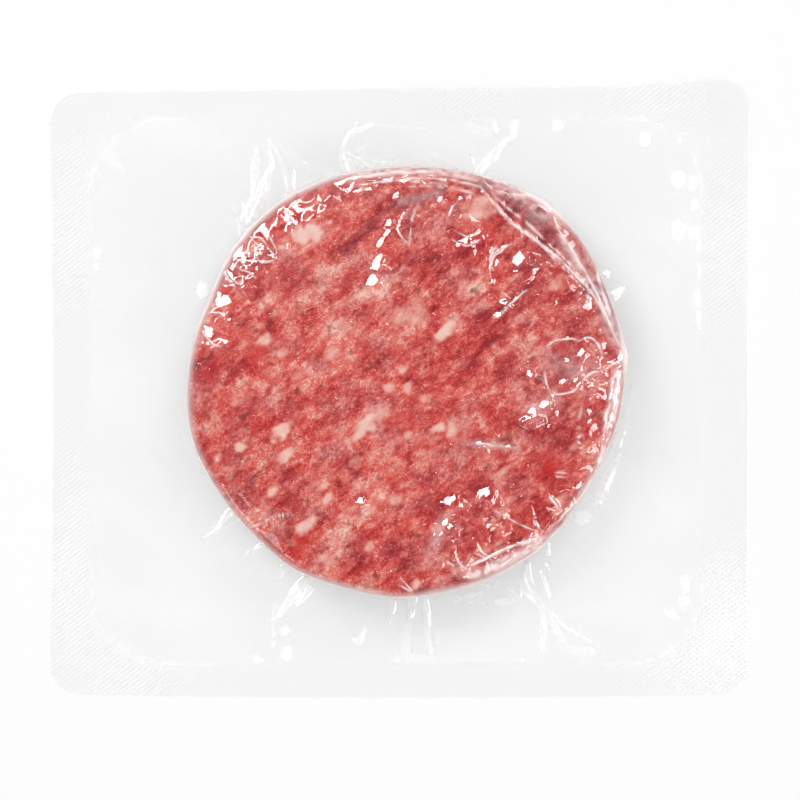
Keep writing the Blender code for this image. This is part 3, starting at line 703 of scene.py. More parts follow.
knurls = (
    # where the seal's knurling stands out, with painted highlights on its ridges and painted shade in its
    # grooves:
    # x, y, reach in mm, how much, and how much across it as well
    (-84, 40, 22, 0.26, 0), (-84, -48, 26, 0.38, 0), (14, 73, 14, 0.14, 0), (64, 73, 14, 0.22, 0),
    (84, 38, 20, 0.3, 0.1), (82, -62, 17, 0.9, 0.75), (-72, -70, 16, 0.3, 0),
)
veils = (
    # where the film stands off the meat and looks milky, partly its own haze and partly painted sheen:
    # points in mm, reach and strength
    (((22, 54.5), (31, 48.5), (37, 44)), 2.2, 0.6), (((41, 37.5), (51, 22.5), (55.8, 10)), 1.6, 0.6),
    (((-14, 53.8), (2, 56.2), (17, 54.6)), 1.5, 0.8),
    (((54.4, 4.6), (53.2, -6.2), (50.5, -18), (41.5, -32)), 1.2, 0.6),
    (((36, -37.4), (26, -43.2), (18.5, -46)), 1.4, 0.9), (((0.2, 47.4), (10.3, 49.9)), 1, 0.25),
    (((38, 7), (48, 4)), 3, 0.25), (((7, -42), (12, -31)), 1.6, 0.3), (((33, -5), (38, -2)), 2.4, 0.3),
    (((16, -12.8), (29, -14.2)), 0.9, 0.35),
)


def slackAt(points):
    x, y = inMm(points)
    most = np.full(x.shape, film["leastSlack"])
    for sx, sy, reach, amount in slackPlaces:
        most = np.maximum(most, amount * np.exp(-(np.hypot(x - sx, y - sy) / reach) ** 2))
    return most


def crestRise(points):
    # a crest rises evenly on its bright flank and dies away slowly behind it; also tells where the crests are
    x, y = inMm(points)
    ragged, tattered = bumps(points, *film["crestRagged"]), bumps(points, *film["crestTattered"])
    rise, onCrest = np.zeros(len(points)), np.zeros(len(points))
    (lengths, widths), (bandWidth, bandSharp) = film["crestReach"], film["crestBand"]
    for cx, cy, length, width, degrees in crests:
        width = width * film["crestWidth"]
        near = np.where(np.hypot(x - cx, y - cy) < lengths * length + widths * width)[0]
        along, across = turned(x[near] - cx, y[near] - cy, degrees)
        across = (across + ragged[near]) / width
        flank = np.clip(0.5 - across, 0, 1) * np.exp(-np.maximum(-across - 0.5, 0) / film["crestTail"])
        ends = np.exp(-np.abs(along / (0.5 * length) + tattered[near]) ** film["crestEnds"])
        rise[near] = np.maximum(rise[near], film["crestSlope"] * width * flank * ends)
        onCrest[near] = np.maximum(onCrest[near], ends * np.exp(-(across / bandWidth) ** bandSharp))
    return rise * mm, onCrest


def creaseRise(points):
    # sharp ridges that wander a little, and how white they look, as a painted highlight along them
    x, y = inMm(points)
    wander = bumps(points, *film["creaseWander"])
    (least, more), (steep, power) = film["creaseWhite"], film["creaseTaper"]
    rise, white = np.zeros(len(points)), np.zeros(len(points))
    for path, halfWidth, height in creases:
        line = rounded(path)
        near = closeTo(x, y, line, film["creaseReach"])
        away, along = besidePath(x[near] + wander[near], y[near] - wander[near], line)
        tent = np.maximum(1 - (away / (film["creaseWidth"] * halfWidth)) ** film["creaseSharp"], 0)
        toEnd = np.minimum(along, 1 - along) + film["creaseEnd"]
        taper = np.clip(steep * toEnd, 0, 1) ** power
        rise[near] = np.maximum(rise[near], film["creaseTop"] * height * tent * taper)
        shown = min(least + more * height, 1) * tent ** film["creaseGlow"] * taper
        white[near] = np.maximum(white[near], shown)
    return rise * mm, white * patches(points, *film["creaseFades"])


def puckerRise(points):
    x, y = inMm(points)
    ragged = bumps(points, *film["puckerRagged"])
    rise, onPucker = np.zeros(len(points)), np.zeros(len(points))
    for px, py, halfWidth, halfDepth in puckers:
        share = np.hypot((x - px) / halfWidth, (y - py) / halfDepth) + ragged
        dome = np.maximum(1 - share ** 2, 0) ** film["puckerSharp"]
        rise = np.maximum(rise, film["puckerTop"] * halfWidth * dome)
        onPucker = np.maximum(onPucker, fade(share, *film["puckerEdge"]))
    return rise * mm, onPucker


def foldRise(points):
    # ridges of gathered film that run down from the patty: their rise, how white they look (partly milky
    # film, partly a painted highlight), how near they are
    wander = bumps(points, *film["foldWander"])
    x, y = inMm(points)
    x, y = x + wander, y - wander
    rise, white, near = np.zeros(len(points)), np.zeros(len(points)), np.full(len(points), np.inf)
    for pale, *band in folds:
        line = rounded(band)
        here = closeTo(x, y, line, film["foldReach"] * line[:, 2].max())
        share, height = alongBand(x[here], y[here], line)
        tent = np.maximum(1 - np.hypot(share / film["foldSpread"], film["foldRound"]), 0)
        rise[here] = np.maximum(rise[here], film["foldTop"] * height * tent ** film["foldSharp"])
        white[here] = np.maximum(white[here], pale * fade(share, *film["foldEdge"]))
        near[here] = np.minimum(near[here], share)
    return rise * mm, white, near


def flangeLift(x, y, share):
    # the flange is a little wavy, and its corners curl up
    lift = np.zeros(x.shape)
    for (sideX, sideY), top in pack["cornerLifts"].items():
        lift += np.where((x * sideX > 0) & (y * sideY > 0), top, 0)
    reach = np.minimum(np.abs(2 * x / pack["width"]) * np.abs(2 * y / pack["depth"]), 1)
    wave = 0.5 + 0.5 * np.sin(pack["edgeWaves"] * np.arctan2(y, x))
    return smooth(share) * (lift * reach ** 3 + pack["edgeWave"] * wave)


def filmPlaces(reach, angle):
    # also gives how much of the way from the patty to the seal each point is
    counts = list(film["rings"].values())
    starts = 1 + np.cumsum([0] + counts)
    shoulder, wall, foot, skirt, seam, flange, edge = (np.clip((reach - start) / count, 0, 1)
                                                       for start, count in zip(starts, counts))
    passed = np.minimum(reach, 1) * film["coreEnd"] + shoulder * (1 - film["coreEnd"]) \
        + wall * (film["wallEnd"] - 1)
    share, height = onProfile(passed)
    waist = pattyRadius(angle) + film["clearance"] \
        + sum(size * around(angle, centre, spread) for centre, spread, size in film["standOff"])
    side = patty["middle"] + height * (patty["thickness"] / 2 + film["clearance"])
    toPocket, toEdge = toPocketEdge(angle), toPackEdge(angle)
    run = toPocket - share * waist
    out = foot * film["footReach"] + skirt * (run - film["seamReach"] - film["footReach"]) \
        + 2 * seam * film["seamReach"] + edge * film["edgeReach"] \
        + flange * (toEdge - toPocket - film["seamReach"] - film["edgeReach"])
    radius = share * waist + out
    beyond = out / run
    x, y = placeRound(radius, angle)
    points = np.column_stack((x, y, side))
    fall = (side - film["level"]) * np.exp(-out / film["flare"])
    pleats = film["pleatHeight"] * (1 - 2 * np.abs(noiseAt(aroundPatty(angle), *film["pleatNoise"]))) \
        * smooth(out / film["pleatStart"]) * np.exp(-(out / film["pleatReach"]) ** 2)
    rolled = np.clip((beyond - film["rollStart"]) / (1 - film["rollStart"]), 0, 1)
    roll = film["roll"] * np.sin(math.pi * rolled) ** 2
    seal = film["seamHeight"] * np.exp(-((radius - toPocket) / film["seamWidth"]) ** 2) \
        * patches(points, *film["seamPatches"])
    onFlange = np.clip((radius - toPocket) / (toEdge - toPocket), 0, 1)
    low = film["level"] + np.maximum(fall, foldRise(points)[0] * fade(beyond, *film["foldEnd"])) \
        + pleats + roll + seal + flangeLift(x, y, onFlange) - film["edgeDrop"] * edge ** 2
    points[:, 2] = np.where(reach < starts[2], side, low)
    return points, beyond


def nearLines(points, lines, reach):
    x, y = inMm(points)
    near = np.zeros(len(points), bool)
    for path, halfWidth in lines:
        near |= besidePath(x, y, path)[0] < reach * halfWidth
    return near


def fineFilm(mesh):
    # halves the faces twice where the film is crumpled, and gives the points' places
    creaseLines = [(path, halfWidth) for path, halfWidth, _ in creases]
    puckerSpots = [(((x, y), (x + 0.1, y)), max(size)) for x, y, *size in puckers]
    points = filmPlaces(*patternOf(mesh))[0]
    refine(mesh, (slackAt(points) > film["fineSlack"]) | (foldRise(points)[2] < film["fineFolds"][0])
           | nearLines(points, puckerSpots, film["finePuckers"][0]))
    points, beyond = filmPlaces(*patternOf(mesh))
    refine(mesh, nearLines(points, creaseLines, film["fineCreases"])
           | (foldRise(points)[2] < film["fineFolds"][1]) & (beyond > 0)
           | nearLines(points, puckerSpots, film["finePuckers"][1]))
    return filmPlaces(*patternOf(mesh))


def wallMilkAndLight(points, beyond, past):
    # the steep side round the meat and the skirt at its foot look a little milky, with painted light on them
    # that is stronger on some sides
    bearing = bearingOf(points[:, 0], points[:, 1])
    wall = film["wallMilkAndLight"] + sum(amount * around(bearing, *where) for *where, amount in film["wallPaintedLight"])
    wall += film["standOffMilk"] * sum(around(bearing, centre, film["standOffSpread"] * spread)
                                       for centre, spread, _ in film["standOff"])
    wall *= fade(fromMiddle(points), *film["wallZone"]) ** film["wallSharp"] \
        * np.exp(-past / film["wallReach"]) * fade(points[:, 2], *film["wallFoot"])
    # painted light on the skirt at the patty's foot, strongest on the key lamp's side, lightening the patty's
    # shade there
    foot = film["footPaintedLight"] + film["footSwing"] * np.cos(bearing - math.radians(film["footLitFrom"]))
    return wall, foot * np.exp(-past / film["footPaintedLightReach"]) * (beyond > 0)


def sealGlare(points, beyond):
    # the seal's inner line has a painted highlight: white at the corners and faint along the straight sides
    corner = fade(4 * np.abs(points[:, 0] * points[:, 1]) / (pack["pocketWidth"] * pack["pocketDepth"]),
                  *film["cornerZone"])
    return film["seamGlare"] * (film["straightSeam"] + corner * patches(points, *film["seamStreaks"])) \
        * np.exp(-((beyond - 1) / film["seamShare"]) ** 2)


def cloudsOver(points):
    alongX, alongY = film["cloudStretch"]
    drawn = np.column_stack((points[:, 0] / alongX + points[:, 1] / alongY, points[:, 1], points[:, 2]))
    return film["cloudMilk"] * patches(drawn, *film["clouds"])


def knurling(points, onFlange):
    x, y = inMm(points)
    knurl, across = np.zeros(len(points)), np.zeros(len(points))
    for kx, ky, reach, shown, crossed in knurls:
        here = np.exp(-((np.hypot(x - kx, y - ky) / reach) ** 2)) * onFlange
        knurl, across = np.maximum(knurl, shown * here), np.maximum(across, crossed * here)
    return knurl, across


def makeFormedFilm(material):
    mesh = flatSheet("formedFilm", film["cells"], sum(film["rings"].values()))
    points, beyond = fineFilm(mesh)
    shapeMesh(mesh, points)
    onPatty = fade(points[:, 2] - patty["middle"], *film["topZone"]) * (beyond <= 0)
    onSkirt = fade(beyond, *film["skirtStart"]) * fade(beyond, *film["skirtEnd"])
    onFlange = fade(beyond, *film["flangeZone"])
    slack = slackAt(points)
    crest, onCrest = crestRise(points)
    crease, onCrease = creaseRise(points)
    pucker, onPucker = puckerRise(points)
    calm = 1 - film["crestCalm"] * onCrest

    rumpled = sum(height * (1 - np.abs(noiseAt(points, size, offset))) ** film["rumpleSharp"]
                  for height, size, offset in film["rumples"])
    rise = onPatty * (slack * rumpled * calm + crest) + np.where(beyond <= 0, crease, 0) + onSkirt * pucker
    follow = film["pasteFollow"] + film["rimFollow"] * fade(fromMiddle(points), *film["rimZone"])
    sunk = film["lumpFollow"] * lumps(points) \
        + follow * relief["pasteDepth"] * (1 - paste(points)) * (1 - slack)
    moveAlongNormals(mesh, rise - sunk * onPatty * calm * sideHold(points))

    past = np.maximum(fromMiddle(points) - film["outside"], 0) * patty["radius"]
    wall, foot = wallMilkAndLight(points, beyond, past)
    streaks = patches(aroundPatty(np.arctan2(points[:, 1], points[:, 0])), *film["foldStreaks"])
    # the folds' whiteness is partly the doubled film's milkiness and partly a painted highlight on their
    # flanks
    gathered = film["foldGlare"] * foldRise(points)[1] * onSkirt * streaks
    overMeat = np.maximum(film["veilMilk"] * places(points, veils) * patches(points, *film["veilPatches"]),
                          film["creaseGlare"] * onCrease) * np.exp(-past / film["veilReach"])
    milkAndGlare = (overMeat, film["puckerGlare"] * onPucker * onSkirt, sealGlare(points, beyond), gathered, wall,
            foot + cloudsOver(points) * onSkirt)
    knurl, across = knurling(points, onFlange)
    paintMesh(mesh, slack=slack * onPatty * calm, beads=onPatty * (1 - slack), veil=np.maximum.reduce(milkAndGlare),
              pinked=np.exp(-np.maximum(past - film["bouncePinkStart"], 0) / film["bouncePinkReach"]),
              flange=onFlange, knurl=knurl, across=across)
    addPiece("formedFilm", mesh, material, "clear_film", "formed_film")


baseFilm = {"cells": 40, "pocketRings": 6, "flangeRings": 10, "core": 0.9, "lift": 0.0002}


def makeBaseFilm(material):
    inside, outside = baseFilm["pocketRings"], baseFilm["flangeRings"]
    mesh = flatSheet("baseFilm", baseFilm["cells"], inside + outside)
    reach, angle = patternOf(mesh)
    core = baseFilm["core"] * patty["radius"]
    toPocket, toEdge = toPocketEdge(angle), toPackEdge(angle)
    radius = np.minimum(reach, 1) * core + np.clip((reach - 1) / inside, 0, 1) * (toPocket - core) \
        + np.clip((reach - 1 - inside) / outside, 0, 1) * (toEdge - toPocket)
    x, y = placeRound(radius, angle)
    lift = flangeLift(x, y, np.clip((radius - toPocket) / (toEdge - toPocket), 0, 1))
    shapeMesh(mesh, np.column_stack((x, y, baseUnderside + baseFilm["lift"] + lift)))
    addPiece("baseFilm", mesh, material, "clear_film", "base_film")


def plug(tree, value, socket):
    if isinstance(value, bpy.types.NodeSocket):
        tree.links.new(value, socket)
    else:
        socket.default_value = value


def nodeIn(tree, kind, **values):
    # a new node, its settings and inputs given by name
    made = tree.nodes.new(kind)
    for name, value in values.items():
        if name in made.inputs:
            plug(tree, value, made.inputs[name])
        else:
            setattr(made, name, value)
    return made


def fill(tree, values):
    # sets or links a new material's shader
    for name, value in values.items():
        plug(tree, value, tree.nodes["Principled BSDF"].inputs[name])


def enabled(sockets, name):
    # the socket of that name that the node's present kind uses
    return next(s for s in sockets if s.name == name and s.enabled)


def mixColour(tree, amount, first, second):
    made = nodeIn(tree, "ShaderNodeMix", data_type="RGBA", blend_type="MIX")
    for name, value in (("Factor", amount), ("A", first), ("B", second)):
        plug(tree, value, enabled(made.inputs, name))
    return enabled(made.outputs, "Result")


def mixShaders(tree, amount, first, second):
    made = nodeIn(tree, "ShaderNodeMixShader")
    for value, socket in zip((amount, first, second), made.inputs):
        plug(tree, value, socket)
    return made.outputs["Shader"]


def reckon(tree, operation, first, second=0.0):
    made = nodeIn(tree, "ShaderNodeMath", operation=operation)
    plug(tree, first, made.inputs[0])
    plug(tree, second, made.inputs[1])
    return made.outputs["Value"]


def times(tree, first, second):
    return reckon(tree, "MULTIPLY", first, second)


def less(tree, first, second):
    return reckon(tree, "SUBTRACT", first, second)


def ramp(tree, source, *stops):
    made = nodeIn(tree, "ShaderNodeValToRGB", Fac=source)
    elements = made.color_ramp.elements
    elements[0].position, elements[0].color = stops[0]
    elements[1].position, elements[1].color = stops[-1]
    for position, colour in stops[1:-1]:
        elements.new(position).color = colour
    return made.outputs["Color"]


def remap(tree, source, low, high):
    # 0 at the low value and 1 at the high one, with a smooth change between them
    return nodeIn(tree, "ShaderNodeMapRange", interpolation_type="SMOOTHSTEP", Value=source,
                  **{"From Min": low, "From Max": high}).outputs["Result"]


def noiseTexture(tree, place, scale, detail, roughness, distortion=0.0):
    return nodeIn(tree, "ShaderNodeTexNoise", Vector=place, Scale=scale, Detail=detail,
                  Roughness=roughness, Distortion=distortion).outputs["Fac"]


def cellsAt(tree, place, scale):
    # random cells: how far each point is from its cell's middle, and two tones for each cell
    cells = nodeIn(tree, "ShaderNodeTexVoronoi", Vector=place, Scale=scale).outputs
    tones = nodeIn(tree, "ShaderNodeSeparateColor", Color=cells["Color"]).outputs
    return cells["Distance"], tones["Red"], tones["Green"]


def paintedOn(tree, name):
    return nodeIn(tree, "ShaderNodeAttribute", attribute_name=name).outputs["Fac"]


lampLight = 1.3         # how strongly the studio's lamps light the meat


def linear(r, g, b):
    # the surface colour that looks like this screen colour, 0 to 255, under the studio's lamps
    channels = [((c / 255 + 0.055) / 1.055) ** 2.4 if c > 10 else c / 255 / 12.92 for c in (r, g, b)]
    return (*(c / lampLight for c in channels), 1.0)


# a noise is scale, detail, roughness and distortion
beef = {
    "tones": ((0.06, linear(150, 26, 34)), (0.26, linear(194, 46, 48)), (0.46, linear(222, 83, 75)),
              (0.62, linear(232, 117, 105)), (0.78, linear(241, 156, 142)), (0.95, linear(250, 204, 190))),
    "duskyTones": ((0.08, linear(132, 26, 40)), (0.46, linear(192, 80, 84)), (0.80, linear(234, 150, 144))),
    # the gap colour is the dark of the specks and, as painted shade, of the gaps, cracks and creases
    "blood": linear(204, 12, 24), "gap": linear(128, 18, 28), "bounce": (0.32, 0.31, 0.31, 1),
    "fatTones": ((0.25, linear(236, 138, 124)), (1.0, linear(248, 208, 196))),
    # how much each of these sways the tone
    "coarse": 0.40, "granule": 0.24, "piece": 0.22, "strand": 0.26, "dusky": 0.24,
    "slantedGrains": ((0.80, 95), (0.80, 250), (0.72, 900)), "grain": (2, 0.7, 0.4),
    "grit": (0.34, 2400), "gritNoise": (0, 0.7, 0.4),
    "strandNoises": ((520, 1, 0.5, 0.9), (860, 1, 0.5, 0.9)), "strandWidth": 0.024,
    # pieces and granules of meat: scale of the cells, then scale and depth of the wander in their edges
    "pieces": (200, 420, 0.004), "granules": (520, 900, 0.0014),
    "hueNoise": (110, 2, 0.6), "hueZone": (0.46, 0.66), "hueShare": 0.7, "bloodShare": 0.8,
    # dark specks; gaps between granules and cracks, partly darker meat and partly painted shade in them;
    # hair-thin creases, painted darker as shade; and where there are any
    "patchNoise": (260, 1, 0.6), "patchZone": (0.46, 0.62),
    "speckScale": 640, "speckZone": (0.34, 0.10), "specks": 0.45,
    "granuleEdge": (0.60, 0.84), "gaps": 0.62, "cracks": 0.60,
    "hairCreaseNoise": (190, 3, 0.6, 0.6), "hairCreaseWidth": 0.012, "hairCreaseShade": 0.55, "hairCreasePatches": (120, 1, 0.5),
    "fatNoise": (420, 2, 0.55), "fatSway": 1.1, "fatZone": (0.04, 0.82),
    "roughness": 0.45, "specular": 0.10,
    "bumpNoise": (900, 3, 0.65), "bumpDepth": 0.0004, "leanBump": 0.8, "fatCalm": 0.6,
}


def newMaterial(name):
    material = bpy.data.materials.new(name)
    material.use_nodes = True
    return material, material.node_tree


def beefMaterial():
    material, tree = newMaterial("rawBeef")
    place = nodeIn(tree, "ShaderNodeTexCoord").outputs["Object"]
    turn = (0, 0, math.radians(relief["slant"]))
    slant = nodeIn(tree, "ShaderNodeMapping", vector_type="TEXTURE", Vector=place, Rotation=turn,
                   Scale=(relief["stretch"], 1, 1)).outputs["Vector"]

    def swayed(tone, amount, value):
        # the tone, made lighter or darker by a value's distance from a half
        return reckon(tree, "ADD", tone, times(tree, less(tree, value, 0.5), amount))

    def lineOf(at, noiseOf, width):
        # 1 along the wandering lines where a noise passes a half
        away = reckon(tree, "ABSOLUTE", less(tree, noiseTexture(tree, at, *noiseOf), 0.5))
        return remap(tree, away, width, 0.0)

    def wanderingCells(scale, bendScale, bend):
        wander = nodeIn(tree, "ShaderNodeTexNoise", Scale=bendScale, Detail=1).outputs["Color"]
        bent = nodeIn(tree, "ShaderNodeVectorMath", operation="MULTIPLY_ADD")
        for value, socket in zip((wander, (bend, bend, bend), slant), bent.inputs):
            plug(tree, value, socket)
        return cellsAt(tree, bent.outputs["Vector"], scale)

    def darkened(colour, mask, amount):
        return mixColour(tree, times(tree, mask, amount), colour, beef["gap"])

    tone = swayed(0.5, beef["coarse"], paintedOn(tree, "coarse"))
    for amount, scale in beef["slantedGrains"]:
        tone = swayed(tone, amount, noiseTexture(tree, slant, scale, *beef["grain"]))
    amount, scale = beef["grit"]
    tone = swayed(tone, amount, noiseTexture(tree, place, scale, *beef["gritNoise"]))
    for strandNoise in beef["strandNoises"]:
        strand = lineOf(place, strandNoise, beef["strandWidth"])
        tone = reckon(tree, "ADD", tone, times(tree, strand, beef["strand"]))
    tone = swayed(tone, beef["piece"], wanderingCells(*beef["pieces"])[1])
    fromGranule, granule, _ = wanderingCells(*beef["granules"])
    tone = swayed(tone, beef["granule"], granule)
    # darker, purplish meat: partly its own colour, partly painted shade where the film stands off it
    dusky = paintedOn(tree, "dusky")
    tone = less(tree, tone, times(tree, dusky, beef["dusky"]))

    hue = remap(tree, noiseTexture(tree, place, *beef["hueNoise"]), *beef["hueZone"])
    hue = reckon(tree, "MAXIMUM", times(tree, hue, beef["hueShare"]), dusky)
    colour = mixColour(tree, hue, ramp(tree, tone, *beef["tones"]), ramp(tree, tone, *beef["duskyTones"]))
    colour = mixColour(tree, times(tree, paintedOn(tree, "vivid"), beef["bloodShare"]), colour, beef["blood"])
    patchy = remap(tree, noiseTexture(tree, place, *beef["patchNoise"]), *beef["patchZone"])
    specks = remap(tree, cellsAt(tree, slant, beef["speckScale"])[0], *beef["speckZone"])
    colour = darkened(colour, times(tree, specks, patchy), beef["specks"])
    # the gaps between granules and the cracks: partly darker meat, partly painted shade in them
    gaps = remap(tree, fromGranule, *beef["granuleEdge"])
    colour = darkened(colour, times(tree, gaps, patchy), beef["gaps"])
    colour = darkened(colour, paintedOn(tree, "crack"), beef["cracks"])
    # hair-thin creases, painted darker as shade in them
    hairCreasePatches = remap(tree, noiseTexture(tree, place, *beef["hairCreasePatches"]), *beef["patchZone"])
    hairCrease = times(tree, lineOf(slant, beef["hairCreaseNoise"], beef["hairCreaseWidth"]), hairCreasePatches)
    colour = darkened(colour, hairCrease, beef["hairCreaseShade"])
    fatty = paintedOn(tree, "fat")
    fatTone = swayed(fatty, beef["fatSway"], noiseTexture(tree, slant, *beef["fatNoise"]))
    fatColour = ramp(tree, fatTone, *beef["fatTones"])
    colour = mixColour(tree, remap(tree, fatTone, *beef["fatZone"]), colour, fatColour)

    # what the meat throws back onto the film round it is kept pale
    bounced = nodeIn(tree, "ShaderNodeLightPath").outputs["Is Diffuse Ray"]
    bump = nodeIn(tree, "ShaderNodeBump", Distance=beef["bumpDepth"],
                  Strength=less(tree, beef["leanBump"], times(tree, fatty, beef["fatCalm"])),
                  Height=noiseTexture(tree, slant, *beef["bumpNoise"]))
    colour = mixColour(tree, bounced, colour, beef["bounce"])
    fill(tree, {"Base Color": colour, "Roughness": beef["roughness"], "Specular IOR Level": beef["specular"],
                "Normal": bump.outputs["Normal"]})
    return material


def grey(level):
    return (level, level, level, 1)


clearFilm = {
    "roughness": 0.05, "singleGloss": 1.15, "doubleGloss": 1.60,        # the gloss is an index of refraction
    # the gap tint is painted shade in the knurl's grooves
    "clear": grey(0.996), "seal": grey(0.994), "gap": grey(0.975),      # what it lets through
    "steep": (0.975, 0.978, 0.98, 1), "steepZone": (0.03, 0.50),
    "milkAndGlare": 0.95, "milkWhite": grey(0.96), "bouncePinkMilk": (0.97, 0.80, 0.78, 1), "milkLift": 1.5,
    "crinkleNoise": (750, 2, 0.55), "crinkleDepth": 0.0003, "leastCrinkle": 0.02, "slackCrinkle": 0.30,
    "beadScale": 420, "beadZone": (0.16, 0.0), "beadDepth": 0.00022, "beadShare": 0.45,
    "knurlPitch": 0.0010, "knurlTurns": (("Knurl", 128), ("Across", 52)), "knurlDepth": 0.00008,
    "knurlGlint": 0.80,
}


def filmRelief():
    # the film's fine relief: crinkles where slack, tiny beads over the meat, knurled seal
    group = bpy.data.node_groups.new("filmRelief", "ShaderNodeTree")
    group.interface.new_socket("Place", in_out="INPUT", socket_type="NodeSocketVector")
    for name in ("Slack", "Beads", "Knurl", "Across"):
        group.interface.new_socket(name, in_out="INPUT", socket_type="NodeSocketFloat")
    group.interface.new_socket("Normal", in_out="OUTPUT", socket_type="NodeSocketVector")
    for name in ("Ridge", "Gap"):
        group.interface.new_socket(name, in_out="OUTPUT", socket_type="NodeSocketFloat")
    given = nodeIn(group, "NodeGroupInput").outputs

    def raised(height, strength, depth, **below):
        # one more layer of relief, on the normal of the layers below it
        return nodeIn(group, "ShaderNodeBump", Distance=depth, Height=height, Strength=strength,
                      **below).outputs["Normal"]

    crinkles = noiseTexture(group, given["Place"], *clearFilm["crinkleNoise"])
    crinkled = times(group, given["Slack"], clearFilm["slackCrinkle"])
    crinkled = reckon(group, "ADD", clearFilm["leastCrinkle"], crinkled)
    normal = raised(crinkles, crinkled, clearFilm["crinkleDepth"])
    fromBead, _, chance = cellsAt(group, given["Place"], clearFilm["beadScale"])
    dome = times(group, remap(group, fromBead, *clearFilm["beadZone"]),
                 reckon(group, "LESS_THAN", chance, clearFilm["beadShare"]))
    normal = raised(dome, given["Beads"], clearFilm["beadDepth"], Normal=normal)
    radiansPerUnit = 20                     # fixed in the wave texture, so its scale follows from the pitch
    scale = 2 * math.pi / radiansPerUnit / clearFilm["knurlPitch"]
    # masks of the knurl's ridges and grooves, for its painted highlights and shade
    ridge = gap = 0.0
    for name, turn in clearFilm["knurlTurns"]:
        crosswise = nodeIn(group, "ShaderNodeMapping", Vector=given["Place"], Scale=(scale, scale, scale),
                           Rotation=(0, 0, math.radians(-turn))).outputs["Vector"]
        wave = nodeIn(group, "ShaderNodeTexWave", wave_type="BANDS", bands_direction="X",
                      wave_profile="SIN", Scale=1, Vector=crosswise).outputs["Fac"]
        normal = raised(wave, given[name], clearFilm["knurlDepth"], Normal=normal)
        crest = times(group, given[name], wave)
        ridge = reckon(group, "MAXIMUM", ridge, crest)
        gap = reckon(group, "MAXIMUM", gap, less(group, given[name], crest))
    results = nodeIn(group, "NodeGroupOutput").inputs
    for name, value in (("Normal", normal), ("Ridge", ridge), ("Gap", gap)):
        plug(group, value, results[name])
    return group


def filmMaterial(name, gloss):
    # an empty material, its gloss shader, how much of the light that takes, and the kinds of light
    material, tree = newMaterial(name)
    tree.nodes.remove(tree.nodes["Principled BSDF"])
    light = nodeIn(tree, "ShaderNodeLightPath").outputs
    shine = nodeIn(tree, "ShaderNodeBsdfGlossy", Roughness=clearFilm["roughness"], Color=grey(1))
    # the film is a sheet in air, so it shines alike from both sides
    backfacing = nodeIn(tree, "ShaderNodeNewGeometry").outputs["Backfacing"]
    bothSides = nodeIn(tree, "ShaderNodeMapRange", Value=backfacing, **{"To Min": gloss, "To Max": 1 / gloss})
    fresnel = nodeIn(tree, "ShaderNodeFresnel", IOR=bothSides.outputs["Result"])
    # light on its way to the meat passes unhindered
    shining = times(tree, fresnel.outputs["Fac"], less(tree, 1.0, light["Is Shadow Ray"]))
    return material, tree, shine, shining, light


def baseFilmMaterial():
    material, tree, shine, shining, _ = filmMaterial("baseFilm", clearFilm["singleGloss"])
    through = nodeIn(tree, "ShaderNodeBsdfTransparent", Color=clearFilm["clear"])
    whole = mixShaders(tree, shining, through.outputs["BSDF"], shine.outputs["BSDF"])
    plug(tree, whole, tree.nodes["Material Output"].inputs["Surface"])
    return material


def formedFilmMaterial():
    material, tree, shine, shining, light = filmMaterial("formedFilm", clearFilm["doubleGloss"])
    painted = {name: paintedOn(tree, name.lower()) for name in ("Slack", "Beads", "Knurl", "Across")}
    fine = nodeIn(tree, "ShaderNodeGroup", node_tree=filmRelief(),
                  Place=nodeIn(tree, "ShaderNodeTexCoord").outputs["Object"], **painted)
    plug(tree, fine.outputs["Normal"], shine.inputs["Normal"])

    # to the eye, film that slopes steeply looks greyer
    facing = nodeIn(tree, "ShaderNodeLayerWeight", Blend=0.5).outputs["Facing"]
    steep = times(tree, remap(tree, facing, *clearFilm["steepZone"]), light["Is Camera Ray"])
    tint = mixColour(tree, paintedOn(tree, "flange"), clearFilm["clear"], clearFilm["seal"])
    # the knurl's grooves are painted a little darker, as shade in them
    tint = mixColour(tree, fine.outputs["Gap"], tint, clearFilm["gap"])
    tint = mixColour(tree, steep, tint, clearFilm["steep"])
    through = nodeIn(tree, "ShaderNodeBsdfTransparent", Color=tint)

    # milky where it is creased, gathered or sealed, which also paints its highlights and sheen, and pink over
    # the meat as painted bounce light from it; milk scatters light from all round, so from outside its slopes
    # are lit as if they leant up
    surface = nodeIn(tree, "ShaderNodeNewGeometry").outputs
    up = times(tree, less(tree, 1.0, surface["Backfacing"]), clearFilm["milkLift"])
    lifted = nodeIn(tree, "ShaderNodeVectorMath", operation="ADD", Vector=surface["Normal"])
    plug(tree, nodeIn(tree, "ShaderNodeCombineXYZ", Z=up).outputs["Vector"], lifted.inputs[1])
    even = nodeIn(tree, "ShaderNodeVectorMath", operation="NORMALIZE", Vector=lifted.outputs["Vector"])
    # the milk is pink over the meat, as painted bounce light from it
    pinked = mixColour(tree, paintedOn(tree, "pinked"), clearFilm["milkWhite"], clearFilm["bouncePinkMilk"])
    milkAndGlare = nodeIn(tree, "ShaderNodeBsdfDiffuse", Color=pinked, Normal=even.outputs["Vector"])
    # the knurl's ridges are painted white, as highlights on them
    knurled = times(tree, fine.outputs["Ridge"], clearFilm["knurlGlint"])
    haze = times(tree, reckon(tree, "MAXIMUM", paintedOn(tree, "veil"), knurled),
                 less(tree, clearFilm["milkAndGlare"], light["Is Shadow Ray"]))
    hazy = mixShaders(tree, haze, through.outputs["BSDF"], milkAndGlare.outputs["BSDF"])
    whole = mixShaders(tree, shining, hazy, shine.outputs["BSDF"])
    plug(tree, whole, tree.nodes["Material Output"].inputs["Surface"])
    return material


